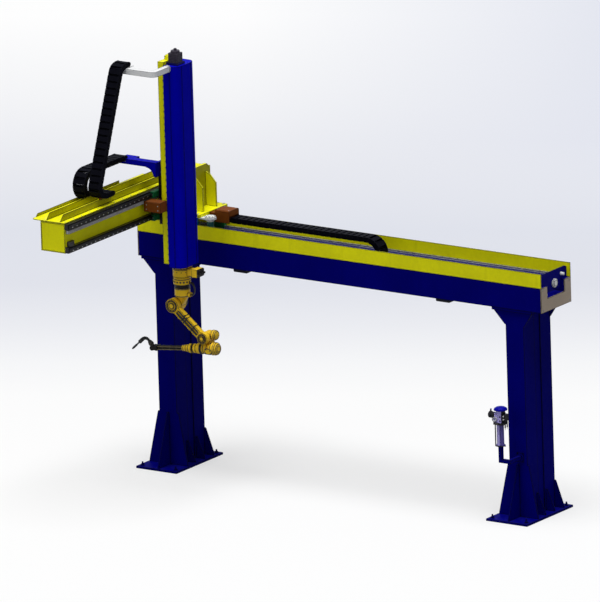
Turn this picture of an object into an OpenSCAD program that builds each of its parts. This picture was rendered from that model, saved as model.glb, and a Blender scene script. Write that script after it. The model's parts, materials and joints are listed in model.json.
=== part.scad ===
// Gantry robot: a two-column portal with a cross beam, a carriage with a cantilever beam,
// a vertical ram and a six-axis welding arm that hangs under it.
// X runs along the cross beam, Y across it, Z up. The origin is on the floor under the left column.

/* [Portal] */
// Distance between the two column centres
column_spacing = 5650; // [4700:10:6800]
// Height of the cross beam's underside over the floor
beam_underside = 2903; // [2400:1:3490]
// Column section, along the cross beam
column_w = 286; // [250:2:340]
// Column section, across the cross beam
column_d = 650; // [560:5:690]
// Depth of the shallow recess in a column's side faces
column_recess = 12; // [4:1:30]
// Base plate length along the cross beam
base_w = 656; // [600:2:760]
// Base plate length across the cross beam
base_d = 1124; // [1060:2:1300]
// How far the base plates sit forward of the columns
base_forward = 60; // [0:5:90]
// How far the base plates sit to the left of the columns
base_left = 20; // [0:2:40]
// Thickness of the base plate
base_t = 30; // [20:1:50]
// Thickness of the cap plate on a column
cap_t = 40; // [15:1:50]
// Anchor holes, spacing along the cross beam
anchor_dx = 540; // [440:5:580]
// Anchor holes, spacing across the cross beam
anchor_dy = 980; // [900:5:1020]
// Radius of an anchor hole
anchor_r = 14; // [9:1:20]

/* [Cross beam] */
// How far the cross beam reaches past the left column's axis
beam_over_left = 385; // [340:5:600]
// How far the cross beam reaches past the right column's axis
beam_over_right = 465; // [340:5:700]
// Width of the cross beam
beam_w = 720; // [700:5:860]
// Height of the cross beam's body
beam_h = 340; // [300:5:420]
// Width of each upstanding arm of the beam's U section
beam_arm = 148; // [120:2:170]
// Depth of the channel between the arms
channel_depth = 165; // [120:5:200]
// Height of the side guards over the beam
guard_h = 200; // [120:5:230]
// Thickness of the side guards
guard_t = 10; // [6:1:16]

/* [Carriage] */
// How far the carriage plate reaches past the cantilever beam, on the left
carriage_over_left = 186; // [150:2:260]
// How far the carriage plate reaches past the cantilever beam, on the right
carriage_over_right = 274; // [250:2:360]
// Thickness of the carriage plate
carriage_t = 40; // [25:1:50]

/* [Cantilever beam] */
// Width of the cantilever beam
y_beam_w = 390; // [325:1:470]
// Height of the cantilever beam
y_beam_h = 409; // [340:1:500]
// How far the cantilever beam reaches out in front of the columns
y_beam_front = 3135; // [2800:5:3600]
// How far the cantilever beam reaches back behind the columns
y_beam_rear = 340; // [250:5:600]
// Height of the chain tray's two upright flanges
tray_flange_h = 88; // [50:1:120]

/* [Ram] */
// Width of the ram's cover along the cross beam
cover_w = 224; // [180:1:280]
// Depth of the ram across the cross beam
ram_d = 457; // [400:1:560]
// Radius of the cover's two outer corners
cover_r = 112; // [40:2:150]
// Thickness of the ram's yellow rail plate
ram_plate_t = 95; // [60:1:120]
// How far the ram's lower end hangs under the cantilever beam
ram_drop = 618; // [540:1:720]
// Length of the ram's cover
cover_len = 2793; // [2500:1:3200]

/* [Robot arm] */
// Distance from the first axis to the second
axis_offset = 110; // [80:5:160]
// Length of the upper arm between its pivots
upper_arm_len = 618; // [515:1:745]
// Offset from the elbow pivot to the forearm's axis
elbow_offset = 158; // [120:2:200]
// Length of the forearm to the wrist's centre
forearm_len = 880; // [730:5:1000]

/* [Drag chains] */
// Width of the drag chains
chain_w = 200; // [170:2:206]
// Height of a drag chain's link
chain_t = 74; // [60:1:80]
// Length of a drag chain's link between its pivots
link_pitch = 90; // [70:1:120]
// Thickness of a link's side plate
link_plate = 16; // [10:1:24]
// Height of the lids that close a link above and below
link_lid = 8; // [5:1:12]
// How far a link's pivot pins stand out of its side plates
link_pin = 4; // [2:0.5:6]

/* [Hidden] */
$fn = 48;
// clearances that several pieces share
slide_gap = 0.3;
run_gap = 6;

// ---------- places that several pieces share ----------
beam_left = -beam_over_left;
beam_right = column_spacing + beam_over_right;
beam_len = beam_right - beam_left;
beam_top = beam_underside + beam_h;
guard_top = beam_top + guard_h;
channel_floor = beam_top - channel_depth;
column_h = beam_underside - cap_t;
x_rail_y = 312;
x_rail_w = 30;
x_rail_h = 40;
x_rack_y = 220;
x_rack_w = 24;
rack_pitch = 31.4;

chain_top = guard_top + 85;
carriage_bottom = chain_top + 10;
carriage_top = carriage_bottom + carriage_t;

y_beam_x0 = -36;
y_beam_x1 = y_beam_x0 + y_beam_w;
y_beam_z0 = carriage_top + 100;
y_beam_z1 = y_beam_z0 + y_beam_h;
carriage_left = y_beam_x0 - carriage_over_left;
carriage_right = y_beam_x1 + carriage_over_right;
tray_t = 8;
tray_top = y_beam_z1 + tray_t;
tray_left = y_beam_x0 - 150;
tray_rear = -480;
tray_flange_x = [y_beam_x0 + 74, y_beam_x1 - 96];
y_chain_x = tray_left + 114;
z_chain_x = y_beam_x1 - 106;
y_strip_t = 54;
y_rail_t = 40;
y_rail_w = 45;
y_rail_z = [y_beam_z0 + 45, y_beam_z1 - 45];
y_rail_x1 = y_beam_x1 + y_strip_t + y_rail_t;

ram_front = -1180;
ram_back = ram_front + ram_d;
ram_y = (ram_front + ram_back) / 2;
saddle_x0 = y_rail_x1 + 30;
saddle_t = 40;
z_rail_t = 38;
z_rail_w = 30;
z_stack = 64;
ram_x0 = saddle_x0 + saddle_t + z_stack;
cover_x0 = ram_x0 + ram_plate_t;
cover_x1 = cover_x0 + cover_w;
ram_bottom = y_beam_z0 - ram_drop;
cover_top = ram_bottom + cover_len;
ram_plate_bottom = ram_bottom + 37;
ram_plate_top = cover_top + 46;
z_rail_y = [ram_front + 150, ram_back - 150];
saddle_y0 = ram_front + 105;
saddle_z1 = y_beam_z1 + 205;

// the blue arm over the saddle, the white arm on the ram's head
chain_arm_z = y_beam_z1 + 331;
white_arm_z = cover_top - 67;
white_arm_h = 75;
white_arm_w = 80;
white_plate_t = 4.7;

robot_x = cover_x0 + cover_w / 2 - 61;
robot_y = ram_y - 2;

// ---------- building blocks ----------

// A box from its lowest to its highest corner
module block(low, high) {
    translate(low)
        cube(high - low);
}

// A triangular web in the X-Z plane: upright along Z, foot along +X
module web(foot, rise, t, toe) {
    rotate([90, 0, 0])
        translate([0, 0, -t / 2])
            linear_extrude(t)
                polygon([[0, 0], [foot, 0], [foot, toe], [toe, rise], [0, rise]]);
}

// A rail of the usual waisted section, as seen along it, with its foot on the X axis
module rail_section(w, h) {
    half = w / 2;
    nip = w * 0.12;
    polygon([[-half, 0], [half, 0], [half, h * 0.45], [half - nip, h * 0.55],
             [half - nip, h * 0.68], [half, h * 0.78], [half, h - 2], [half - 2, h],
             [2 - half, h], [-half, h - 2], [-half, h * 0.78], [nip - half, h * 0.68],
             [nip - half, h * 0.55], [-half, h * 0.45]]);
}

// A toothed rack as seen on its teeth's flanks: back on the X axis, teeth towards +Y
module rack_section(len, depth, pitch, tooth) {
    n = floor(len / pitch);
    spare = (len - n * pitch) / 2;
    root = depth - tooth;
    teeth = [for (i = [0:n - 1], k = [0:3])
        [spare + (i + [0.1, 0.32, 0.68, 0.9][k]) * pitch, k == 0 || k == 3 ? root : depth]];
    polygon(concat([[0, 0], [0, root]], teeth, [[len, root], [len, 0]]));
}

// A runner block that grips a rail, as seen along the rail, its top at height h
module runner_section(w, h, rail_w, rail_h) {
    c = 8;
    difference() {
        polygon([[-w / 2, 8], [w / 2, 8], [w / 2, h - c], [w / 2 - c, h], [c - w / 2, h], [-w / 2, h - c]]);
        translate([-rail_w / 2 - slide_gap, -1])
            square([rail_w + 2 * slide_gap, rail_h + slide_gap + 1]);
    }
}

// A shape turned on Z from its [radius, height] corners
module turned(corners) {
    rotate_extrude()
        polygon(concat([[0, corners[0][1]]], corners, [[0, corners[len(corners) - 1][1]]]));
}

// ---------- drag chains ----------

// A chain's path is a list of [length, turn] pieces, run from the origin along +X.
// The place after a distance s is [x, y, heading].
function piece_end(at, piece, s) =
    piece[1] == 0
    ? [at[0] + s * cos(at[2]), at[1] + s * sin(at[2]), at[2]]
    : let (r = piece[0] / (piece[1] * PI / 180), a = at[2] + piece[1] * s / piece[0])
      [at[0] + r * (sin(a) - sin(at[2])), at[1] - r * (cos(a) - cos(at[2])), a];
function path_place(path, s, at = [0, 0, 0], i = 0) =
    s <= path[i][0] || i == len(path) - 1
    ? piece_end(at, path[i], s)
    : path_place(path, s - path[i][0], piece_end(at, path[i], path[i][0]), i + 1);
function path_len(path, i = 0) = i == len(path) ? 0 : path[i][0] + path_len(path, i + 1);

// Places the children on each link of a chain, at its first pivot with the next one along +X
module each_link(pivots) {
    for (i = [0:len(pivots) - 2])
        translate([pivots[i][0], pivots[i][1]])
            rotate(atan2(pivots[i + 1][1] - pivots[i][1], pivots[i + 1][0] - pivots[i][0]))
                children();
}

// Drag chain along a path in the X-Y plane, its width along +Z: side plates that meet at
// round knuckles, a pin at each pivot and two lids over each link
module drag_chain(path, w) {
    total = path_len(path);
    links = round(total / link_pitch);
    pitch = total / links;
    notch = 7;
    pivots = [for (i = [0:links]) path_place(path, i * pitch)];
    plate_z = [link_pin, w - link_pin - link_plate];
    for (z = plate_z)
        translate([0, 0, z])
            linear_extrude(link_plate) {
                each_link(pivots)
                    translate([notch, -chain_t / 2])
                        square([pitch - 2 * notch, chain_t]);
                for (p = pivots)
                    translate([p[0], p[1]])
                        circle(r = chain_t / 2 - 6, $fn = 24);
            }
    linear_extrude(w)
        for (p = pivots)
            translate([p[0], p[1]])
                circle(r = 13, $fn = 24);
    translate([0, 0, link_pin + link_plate / 2])
        linear_extrude(w - 2 * link_pin - link_plate)
            each_link(pivots)
                for (y = [-chain_t / 2 + 1, chain_t / 2 - 1 - link_lid])
                    translate([2 * notch, y])
                        square([pitch - 4 * notch, link_lid]);
}

// ---------- portal ----------

module base_plate(x) {
    translate([x - base_left, -base_forward, 0])
        difference() {
            block([-base_w / 2, -base_d / 2, 0], [base_w / 2, base_d / 2, base_t]);
            for (sx = [-1, 1], sy = [-1, 1])
                translate([sx * anchor_dx / 2, sy * anchor_dy / 2, -1])
                    cylinder(r = anchor_r, h = base_t + 2);
        }
}

// Box column with a shallow recess down each side face, foot webs and a cap plate
module column(x) {
    web_t = 20;
    web_edge = 18;
    tall = 725;
    short = 365;
    side_room = (base_w - column_w) / 2 - web_edge;
    front_room = (base_d - column_d) / 2 - web_edge + base_forward;
    rear_room = (base_d - column_d) / 2 - web_edge - base_forward;
    cap_left = 200;
    cap_right = 150;
    cap_web = 190;
    wall_x = column_w / 2;
    wall_y = column_d / 2 - web_t / 2;
    translate([x, 0, 0]) {
        difference() {
            block([-wall_x, -column_d / 2, base_t], [wall_x, column_d / 2, column_h]);
            for (s = [-1, 1])
                translate([s * wall_x, 0, column_h / 2])
                    cube([2 * column_recess, column_d * 0.22, column_h + 2], center = true);
        }
        block([-wall_x - cap_left, -beam_w / 2 + 10, column_h],
              [wall_x + cap_right, beam_w / 2 - 10, column_h + cap_t]);
        // webs on the two side faces: tall in front, short at the back and beside the recess
        translate([0, 0, base_t])
            for (w = [[-wall_y, tall], [wall_y, short]]) {
                translate([wall_x, w[0], 0])
                    web(side_room - base_left, w[1], web_t, 25);
                mirror([1, 0, 0])
                    translate([wall_x, w[0], 0])
                        web(side_room + base_left, w[1], web_t, 25);
            }
        for (y = [-column_d * 0.17, column_d * 0.17])
            translate([wall_x, y, base_t])
                web(side_room - base_left - 12, short - 70, web_t * 0.8, 25);
        // one tall web in the middle of the front, two short ones at the back with a lifting hole
        translate([0, -column_d / 2, base_t])
            rotate([0, 0, -90])
                web(front_room, tall, web_t, 25);
        for (s = [-1, 1])
            translate([s * (wall_x - web_t / 2), column_d / 2, base_t])
                rotate([0, 0, 90])
                    difference() {
                        web(rear_room, short, web_t, 25);
                        translate([rear_room * 0.42, 0, 70])
                            rotate([90, 0, 0])
                                cylinder(r = 22, h = web_t + 2, center = true);
                    }
        // webs under the cap plate
        translate([0, 0, column_h])
            mirror([0, 0, 1])
                for (y = [-wall_y, wall_y]) {
                    translate([wall_x, y, 0])
                        web(cap_right - 20, cap_web, web_t, 12);
                    mirror([1, 0, 0])
                        translate([wall_x, y, 0])
                            web(cap_left - 20, cap_web, web_t, 12);
                }
    }
}

// ---------- cross beam ----------

module cross_beam_section() {
    half = beam_w / 2;
    inner = half - beam_arm;
    difference() {
        translate([-half, 0])
            square([beam_w, beam_h]);
        translate([-inner, beam_h - channel_depth])
            square([2 * inner, channel_depth + 1]);
    }
}

module cross_beam() {
    color("navy")
        translate([beam_left + end_cap_t, 0, beam_underside])
            rotate([90, 0, 90])
                linear_extrude(beam_len - 2 * end_cap_t)
                    cross_beam_section();
}

module guard(side) {
    inner = beam_w / 2 - guard_t;
    color("gold")
        translate([beam_left, side > 0 ? inner : -beam_w / 2, beam_top])
            cube([beam_len, guard_t, guard_h]);
}

end_cap_t = 14;

// At each end a bare steel plate on the beam's section, and an upright plate between the
// guards that closes the channel and carries the flange of the cable inlet
module beam_end_plates() {
    plate_t = 12;
    inset = 60;
    inner = beam_w / 2 - guard_t;
    arm_in = beam_w / 2 - beam_arm;
    color("tan")
        for (x = [beam_left, beam_right - end_cap_t])
            translate([x, 0, beam_underside])
                rotate([90, 0, 90])
                    linear_extrude(end_cap_t)
                        difference() {
                            cross_beam_section();
                            for (s = [-1, 1], z = [30, beam_h - 30])
                                translate([s * (beam_w / 2 - 40), z])
                                    circle(r = 9);
                        }
    color("navy")
        for (e = [[beam_left + inset, -1], [beam_right - inset - plate_t, 1]])
            translate([e[0], 0, 0]) {
                rotate([90, 0, 90])
                    linear_extrude(plate_t)
                        polygon([[-inner, beam_top], [-arm_in, beam_top], [-arm_in, channel_floor + 50],
                                 [arm_in, channel_floor + 50], [arm_in, beam_top],
                                 [inner, beam_top], [inner, guard_top - 60],
                                 [inner - 40, guard_top - 40], [-inner, guard_top - 40]]);
                translate([plate_t / 2, 50, beam_top - 18])
                    rotate([0, e[1] * 90, 0]) {
                        cylinder(r = 62, h = 22);
                        cylinder(r = 40, h = 34);
                    }
            }
}

module beam_feet() {
    color("dimgray")
        for (x = [1235, 4495])
            translate([x, 0, beam_underside])
                mirror([0, 0, 1])
                    rotate([90, 0, 90])
                        translate([0, 0, -100])
                            linear_extrude(200)
                                polygon([[40 - beam_w / 2, 0], [beam_w / 2 - 40, 0], [beam_w / 2 - 40, 40],
                                         [beam_w / 2 - 60, 55], [60 - beam_w / 2, 55], [40 - beam_w / 2, 40]]);
}

module x_rails() {
    color("silver")
        for (s = [-1, 1])
            translate([beam_left + 100, s * x_rail_y, beam_top])
                rotate([90, 0, 90])
                    linear_extrude(beam_len - 200)
                        rail_section(x_rail_w, x_rail_h);
}

module x_rack() {
    color("lightgray")
        translate([beam_left + 100, x_rack_w / 2 - x_rack_y, beam_top])
            linear_extrude(45)
                mirror([0, 1])
                    rack_section(beam_len - 200, x_rack_w, rack_pitch, 12);
}

// Lower run fixed in the channel, bend to the right, upper run back to the carriage
module x_drag_chain() {
    bottom = channel_floor + 6;
    bend_r = (chain_top - bottom - chain_t) / 2;
    bend_x = carriage_right + 2746 - bend_r - chain_t / 2;
    root_x = bend_x - 524;
    color("#20242c") {
        translate([root_x, chain_w / 2, bottom + chain_t / 2])
            rotate([90, 0, 0])
                drag_chain([[524, 0], [PI * bend_r, 180], [2194, 0]], chain_w);
        block([root_x - 200, -chain_w / 2 - 15, channel_floor],
              [root_x + 500, chain_w / 2 + 15, bottom]);
    }
}

// ---------- torch cleaning station ----------

station_x = column_spacing - 98;
station_y = -column_d / 2 - 265;
station_z = 1063;
cylinder_h = 285;

// Square tube arm from the column's front face, two elbows and an upright to the station
module station_bracket() {
    tube = 50;
    x = column_spacing + 38;
    y = -column_d / 2;
    z = 858;
    color("navy") {
        difference() {
            block([x - 55, y - 12, z - 65], [x + 55, y, z + 65]);
            for (sx = [-1, 1], sz = [-1, 1])
                translate([x + sx * 40, y + 1, z + sz * 48])
                    rotate([90, 0, 0])
                        cylinder(r = 7, h = 14);
        }
        block([x - tube / 2, y - 290, z - tube / 2], [x + tube / 2, y - 12, z + tube / 2]);
        block([x - 160, y - 290, z - tube / 2], [x - tube / 2, y - 290 + tube, z + tube / 2]);
        block([x - 160, y - 290, z + tube / 2], [x - 160 + tube, y - 290 + tube, station_z]);
    }
}

// Foot flange with two pointed ears, the two cylinders that work the head, a guide rod
module station_cylinders() {
    color("lavender")
        translate([station_x, station_y, station_z]) {
            linear_extrude(14) {
                circle(r = 66);
                polygon([[-84, 0], [-40, 34], [40, 34], [84, 0], [40, -34], [-40, -34]]);
            }
            for (dx = [-29, 29])
                translate([dx, 0, 14])
                    turned([[28, 0], [28, 16], [25, 20], [25, cylinder_h - 20], [28, cylinder_h - 16],
                            [28, cylinder_h]]);
            translate([-50, -44, 0])
                cylinder(r = 8, h = 14 + cylinder_h);
        }
}

// Head of the station: body, wire cutter and clamp in front, spray nozzles, domed cap
module station_head() {
    color("slategray")
        translate([station_x, station_y, station_z + 14 + cylinder_h]) {
            block([-72, -58, 0], [72, 58, 34]);
            translate([0, 0, 34])
                linear_extrude(130)
                    union() {
                        translate([-58, -50])
                            square([116, 100]);
                        circle(r = 60);
                    }
            translate([12, 0, 164])
                turned([[60, 0], [60, 30], [92, 36], [92, 48], [84, 62], [62, 76], [34, 84], [10, 87]]);
            // clamp ring on the front, open through its middle
            translate([-38, -49, 84])
                rotate([90, 0, 0])
                    difference() {
                        cylinder(r = 34, h = 34);
                        translate([0, 0, 12])
                            cylinder(r = 20, h = 30);
                    }
            // cutter drive on the left with two hose unions
            translate([-57, 0, 120])
                rotate([0, -90, 0]) {
                    turned([[40, 0], [40, 66], [46, 70], [46, 104], [34, 114]]);
                    translate([36, 0, 86])
                        rotate([0, 90, 0])
                            cylinder(r = 11, h = 42);
                    translate([-60, 0, 50])
                        rotate([0, 90, 0])
                            cylinder(r = 12, h = 40);
                }
            // spray unit on the right, its two needles pointing down
            block([56, -40, 60], [112, 40, 150]);
            for (y = [-24, 24])
                translate([96, y, -34])
                    cylinder(r = 9, h = 120);
        }
}

// ---------- carriage ----------

module carriage_plate() {
    corner = 24;
    color("gold") {
        translate([0, 0, carriage_bottom])
            linear_extrude(carriage_t)
                difference() {
                    polygon([[carriage_left + corner, -350], [carriage_right - corner, -350],
                             [carriage_right, corner - 350], [carriage_right, 350 - corner],
                             [carriage_right - corner, 350], [carriage_left + corner, 350],
                             [carriage_left, 350 - corner], [carriage_left, corner - 350]]);
                    for (x = [carriage_left + 60, carriage_right - 60], y = [-x_rail_y, x_rail_y])
                        translate([x, y])
                            circle(r = 9);
                }
        // two ribbed pads that carry the cantilever beam
        for (y = [-260, 140]) {
            block([y_beam_x0 + 20, y, y_beam_z0 - 22], [y_beam_x1 - 20, y + 120, y_beam_z0]);
            for (x = [y_beam_x0 + 20, (y_beam_x0 + y_beam_x1) / 2 - 12, y_beam_x1 - 44])
                block([x, y, carriage_top], [x + 24, y + 120, y_beam_z0 - 22]);
        }
    }
}

// Runner blocks on the two rails and the posts that carry the plate on them
module carriage_risers() {
    post = 60;
    color("teal")
        for (x = [carriage_left + 40, carriage_right - 200], s = [-1, 1])
            translate([x, s * x_rail_y, beam_top]) {
                rotate([90, 0, 90])
                    linear_extrude(160)
                        runner_section(post, 90, x_rail_w, x_rail_h);
                rotate([90, 0, 90])
                    translate([0, 0, 16])
                        linear_extrude(128)
                            polygon([[-20, 90], [20, 90], [22, carriage_bottom - beam_top - 30],
                                     [post / 2, carriage_bottom - beam_top - 12],
                                     [post / 2, carriage_bottom - beam_top],
                                     [-post / 2, carriage_bottom - beam_top],
                                     [-post / 2, carriage_bottom - beam_top - 12],
                                     [-22, carriage_bottom - beam_top - 30]]);
            }
}

// Drive on the plate's right edge: bracket plate, gearbox down to the rack, flange on top
module x_drive() {
    x = carriage_right + 115;
    y = -x_rack_y - 42;
    z0 = carriage_bottom - 14;
    color("whitesmoke") {
        translate([0, 0, z0])
            linear_extrude(20)
                union() {
                    translate([carriage_right, -330])
                        square([115, 180]);
                    translate([carriage_right + 115, y])
                        circle(r = 85);
                }
        block([carriage_right - 35, -330, z0], [carriage_right, -150, carriage_bottom]);
        translate([x, y, carriage_bottom + 6])
            turned([[76, 0], [76, 18], [72, 22], [30, 22], [26, 26]]);
        translate([x, y, beam_top + 8])
            turned([[24, 0], [24, 52], [46, 52], [50, 60], [50, z0 - beam_top - 22],
                    [60, z0 - beam_top - 18], [60, z0 - beam_top - 8]]);
    }
}

// Bent plate that reaches over the drag chain's end
module x_chain_bracket() {
    x0 = carriage_right + 90;
    x1 = carriage_right + 326;
    side = chain_w / 2 + 8;
    color("sienna") {
        block([carriage_right, -side, carriage_bottom], [x0, side, carriage_bottom + 30]);
        translate([x0, 0, carriage_bottom])
            rotate([90, 0, 90])
                linear_extrude(x1 - x0)
                    difference() {
                        polygon([[-side - 10, -90], [-side - 10, 66], [4 - side, 80], [side - 4, 80],
                                 [side + 10, 66], [side + 10, -90]]);
                        translate([-side, -91])
                            square([2 * side, 91]);
                    }
    }
}

// Upright plate and two webs that hold the cantilever beam's side
module beam_bracket() {
    plate_t = 45;
    foot = carriage_over_right - 109;
    z = carriage_top;
    top = y_beam_z1 - carriage_top + 61;
    color("gold") {
        translate([y_beam_x1, 0, 0])
            rotate([90, 0, 90])
                linear_extrude(plate_t)
                    polygon([[-230, z], [260, z], [260, z + top - 60], [200, z + top], [-170, z + top],
                             [-230, z + top - 60]]);
        for (y = [-150, 165])
            translate([y_beam_x1 + plate_t, y, z])
                rotate([90, 0, 0])
                    translate([0, 0, -12])
                        linear_extrude(24)
                            polygon([[0, 0], [foot, 0], [foot, 330], [foot * 0.42, 440], [0, 470]]);
    }
}

// Box beam: its tube stands a little proud of the welded-in front plate
module y_beam() {
    wall = 12;
    inset = 5;
    color("gold")
        difference() {
            block([y_beam_x0, -y_beam_front, y_beam_z0], [y_beam_x1, y_beam_rear, y_beam_z1]);
            block([y_beam_x0 + wall, -y_beam_front - 1, y_beam_z0 + wall],
                  [y_beam_x1 - wall, inset - y_beam_front, y_beam_z1 - wall]);
        }
}

module y_rails() {
    color("#303030")
        for (z = y_rail_z) {
            block([y_beam_x1, -y_beam_front, z - 40], [y_beam_x1 + y_strip_t, tray_rear, z + 40]);
            translate([y_beam_x1 + y_strip_t, tray_rear - 10, z])
                rotate([90, 90, 0])
                    linear_extrude(y_beam_front + tray_rear - 20)
                        rail_section(y_rail_w, y_rail_t);
        }
}

module y_rack() {
    color("lightgray")
        translate([y_beam_x1, -y_beam_front + 20, y_rail_z[1] - 95])
            linear_extrude(45)
                mirror([1, 0])
                    rotate(90)
                        rack_section(y_beam_front + tray_rear - 40, y_strip_t, rack_pitch, 12);
}

// Sheet tray along the beam's top: left wing with an upturned lip, two stiffening flanges
module chain_tray() {
    front = -y_beam_front;
    r = 60;
    color("gold") {
        translate([0, 0, y_beam_z1])
            linear_extrude(tray_t)
                union() {
                    translate([tray_left + r, front])
                        square([y_beam_x1 - tray_left - r, tray_rear - front]);
                    translate([tray_left, front + r])
                        square([r + 1, tray_rear - front - r]);
                    translate([tray_left + r, front + r])
                        circle(r = r);
                }
        for (x = tray_flange_x)
            rotate([90, 0, 90])
                translate([0, 0, x])
                    linear_extrude(6)
                        polygon([[front + 30, tray_top], [tray_rear, tray_top],
                                 [tray_rear, tray_top + tray_flange_h],
                                 [front + 110, tray_top + tray_flange_h]]);
        rotate([90, 0, 90])
            translate([0, 0, tray_left])
                linear_extrude(5)
                    polygon([[front + 110, tray_top], [-1045, tray_top], [-1045, tray_top + 40],
                             [front + 150, tray_top + 40]]);
    }
}

// Folded brackets that hold the fixed ends of the two upper drag chains
module chain_anchors() {
    t = 8;
    color("sienna")
        for (a = [[y_chain_x, -1780, 140], [y_beam_x0 + 184, -1930, 170]])
            translate([a[0] - 60, a[1], tray_top])
                rotate([90, 0, 90])
                    linear_extrude(120)
                        difference() {
                            polygon([[0, 0], [a[2], 0], [a[2], 60], [12, 60], [0, 48]]);
                            translate([t, t])
                                square([a[2] - 2 * t, 60 - 2 * t]);
                        }
}

module y_end_stop() {
    color("#303030")
        translate([y_beam_x1, -y_beam_front + 40, y_rail_z[0] + 45])
            linear_extrude(65)
                polygon([[0, 0], [60, 0], [60, 70], [40, 120], [0, 120]]);
}

// ---------- saddle ----------

module saddle_plate() {
    low = y_beam_z0 - 60;
    high = saddle_z1;
    y0 = saddle_y0;
    y1 = ram_back + 60;
    c = 40;
    color("gold")
        translate([saddle_x0, 0, 0])
            rotate([90, 0, 90])
                linear_extrude(saddle_t)
                    polygon([[y0, low], [y1 - c, low], [y1, low + c], [y1, high - c], [y1 - c, high],
                             [y0, high]]);
}

module y_bearings() {
    color("seagreen")
        for (z = y_rail_z, y = [ram_front - 5, ram_back - 120])
            translate([y_beam_x1 + y_strip_t, y + 160, z])
                rotate([90, 90, 0])
                    linear_extrude(160)
                        runner_section(86, saddle_x0 - y_beam_x1 - y_strip_t, y_rail_w, y_rail_t);
}

module z_bearings() {
    color("seagreen")
        for (y = z_rail_y, z = [y_beam_z0 - 40, y_beam_z1 - 110])
            translate([ram_x0, y, z])
                rotate([0, 0, 90])
                    linear_extrude(150)
                        runner_section(70, z_stack, z_rail_w, z_rail_t);
}

module y_chain_bracket() {
    z = y_beam_z0 + 170;
    color("sienna") {
        translate([saddle_x0 - 60, ram_front - 170, z])
            rotate([90, 0, 90])
                linear_extrude(ram_x0 + 100 - saddle_x0 + 60)
                    polygon([[0, 0], [158, 0], [158, 142], [10, 142], [0, 132]]);
        // tongue that is welded to the saddle's front edge
        block([saddle_x0, ram_front - 13, z + 20], [saddle_x0 + saddle_t, saddle_y0, z + 120]);
    }
}

// Arm that carries the moving end of the cantilever beam's drag chain
module chain_arm() {
    y0 = ram_front;
    z0 = chain_arm_z;
    drop = z0 - saddle_z1;
    color("mediumblue") {
        block([y_chain_x + 100, y0, z0], [saddle_x0 + saddle_t, y0 + 120, z0 + 70]);
        block([y_chain_x - 104, y0, z0], [y_chain_x + 100, y0 + 330, z0 + 30]);
        block([saddle_x0, y0, saddle_z1], [saddle_x0 + saddle_t, y0 + 200, z0 + 70]);
        // web that curves down from the arm to the saddle
        translate([saddle_x0, y0 + 12, z0])
            rotate([90, 0, 0])
                linear_extrude(12)
                    difference() {
                        translate([-drop, -drop])
                            square([drop + 1, drop + 1]);
                        translate([-drop, -drop])
                            circle(r = drop - 8);
                        translate([-drop - 1, -drop - 1])
                            square([drop - 7, 2]);
                    }
    }
}

y_chain_r = 217;

// Lower run on the tray, bend to the front, upper run back to the arm
module y_drag_chain() {
    bottom = tray_top + run_gap;
    bend_r = y_chain_r - chain_t / 2;
    color("#20242c")
        translate([y_chain_x + chain_w / 2, -1803, bottom + chain_t / 2])
            rotate([0, 0, -90])
                rotate([90, 0, 0])
                    drag_chain([[150, 0], [PI * bend_r, 180], [800, 0]], chain_w);
}

// From its lower end out to the front, a bend up, the long slanted run, and the bend over
// to the white arm on the ram's head
module z_drag_chain() {
    lower_z = y_beam_z1 + 142;
    upper_z = white_arm_z + white_arm_h + chain_t / 2 + 5;
    foot = [-2287, lower_z];
    head = [-1639, upper_z];
    low_r = 110;
    high_r = 110;
    slant = atan2(head[1] - foot[1], foot[0] - head[0]);
    low_cut = low_r * tan(slant / 2);
    high_cut = high_r * tan((180 - slant) / 2);
    color("#20242c")
        translate([z_chain_x + chain_w / 2 - 4, -1930, lower_z])
            rotate([0, 0, -90])
                rotate([90, 0, 0])
                    drag_chain([[-1930 - foot[0] - low_cut, 0], [low_r * slant * PI / 180, slant],
                                [norm(head - foot) - low_cut - high_cut, 0],
                                [high_r * (180 - slant) * PI / 180, 180 - slant],
                                [169 - high_cut, 0]], chain_w - 8);
}

// ---------- ram ----------

// Rail plate of the ram, with the screw's bearing block on its head
module ram_plate() {
    color("gold") {
        block([ram_x0, ram_front + 20, ram_plate_bottom], [cover_x0, ram_back - 20, ram_plate_top]);
        translate([ram_x0 + 12, ram_y - 62, ram_plate_top])
            rotate([90, 0, 90])
                linear_extrude(ram_plate_t - 24)
                    polygon([[0, 0], [124, 0], [124, 40], [108, 56], [16, 56], [0, 40]]);
    }
}

// Folded sheet cover: two rounded corners set in between flat panels, a seam beside each
module ram_cover() {
    r = cover_r;
    seam = 7;
    color("blue")
        translate([0, 0, ram_bottom])
            linear_extrude(cover_len)
                difference() {
                    union() {
                        translate([cover_x0, ram_front])
                            square([cover_w - r, ram_d]);
                        translate([cover_x0, ram_front + r])
                            square([cover_w, ram_d - 2 * r]);
                        for (y = [ram_front + r, ram_back - r])
                            translate([cover_x1 - r, y])
                                circle(r = r);
                    }
                    for (y = [ram_front, ram_back])
                        translate([cover_x1 - r - seam, y])
                            square([seam, 8], center = true);
                    for (y = [ram_front + r + seam, ram_back - r - seam])
                        translate([cover_x1, y])
                            square([8, seam], center = true);
                }
}

module z_rails() {
    color("silver")
        for (y = z_rail_y)
            translate([ram_x0, y, ram_plate_bottom + 20])
                rotate([0, 0, 90])
                    linear_extrude(ram_plate_top - ram_plate_bottom - 40)
                        rail_section(z_rail_w, z_rail_t);
}

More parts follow.
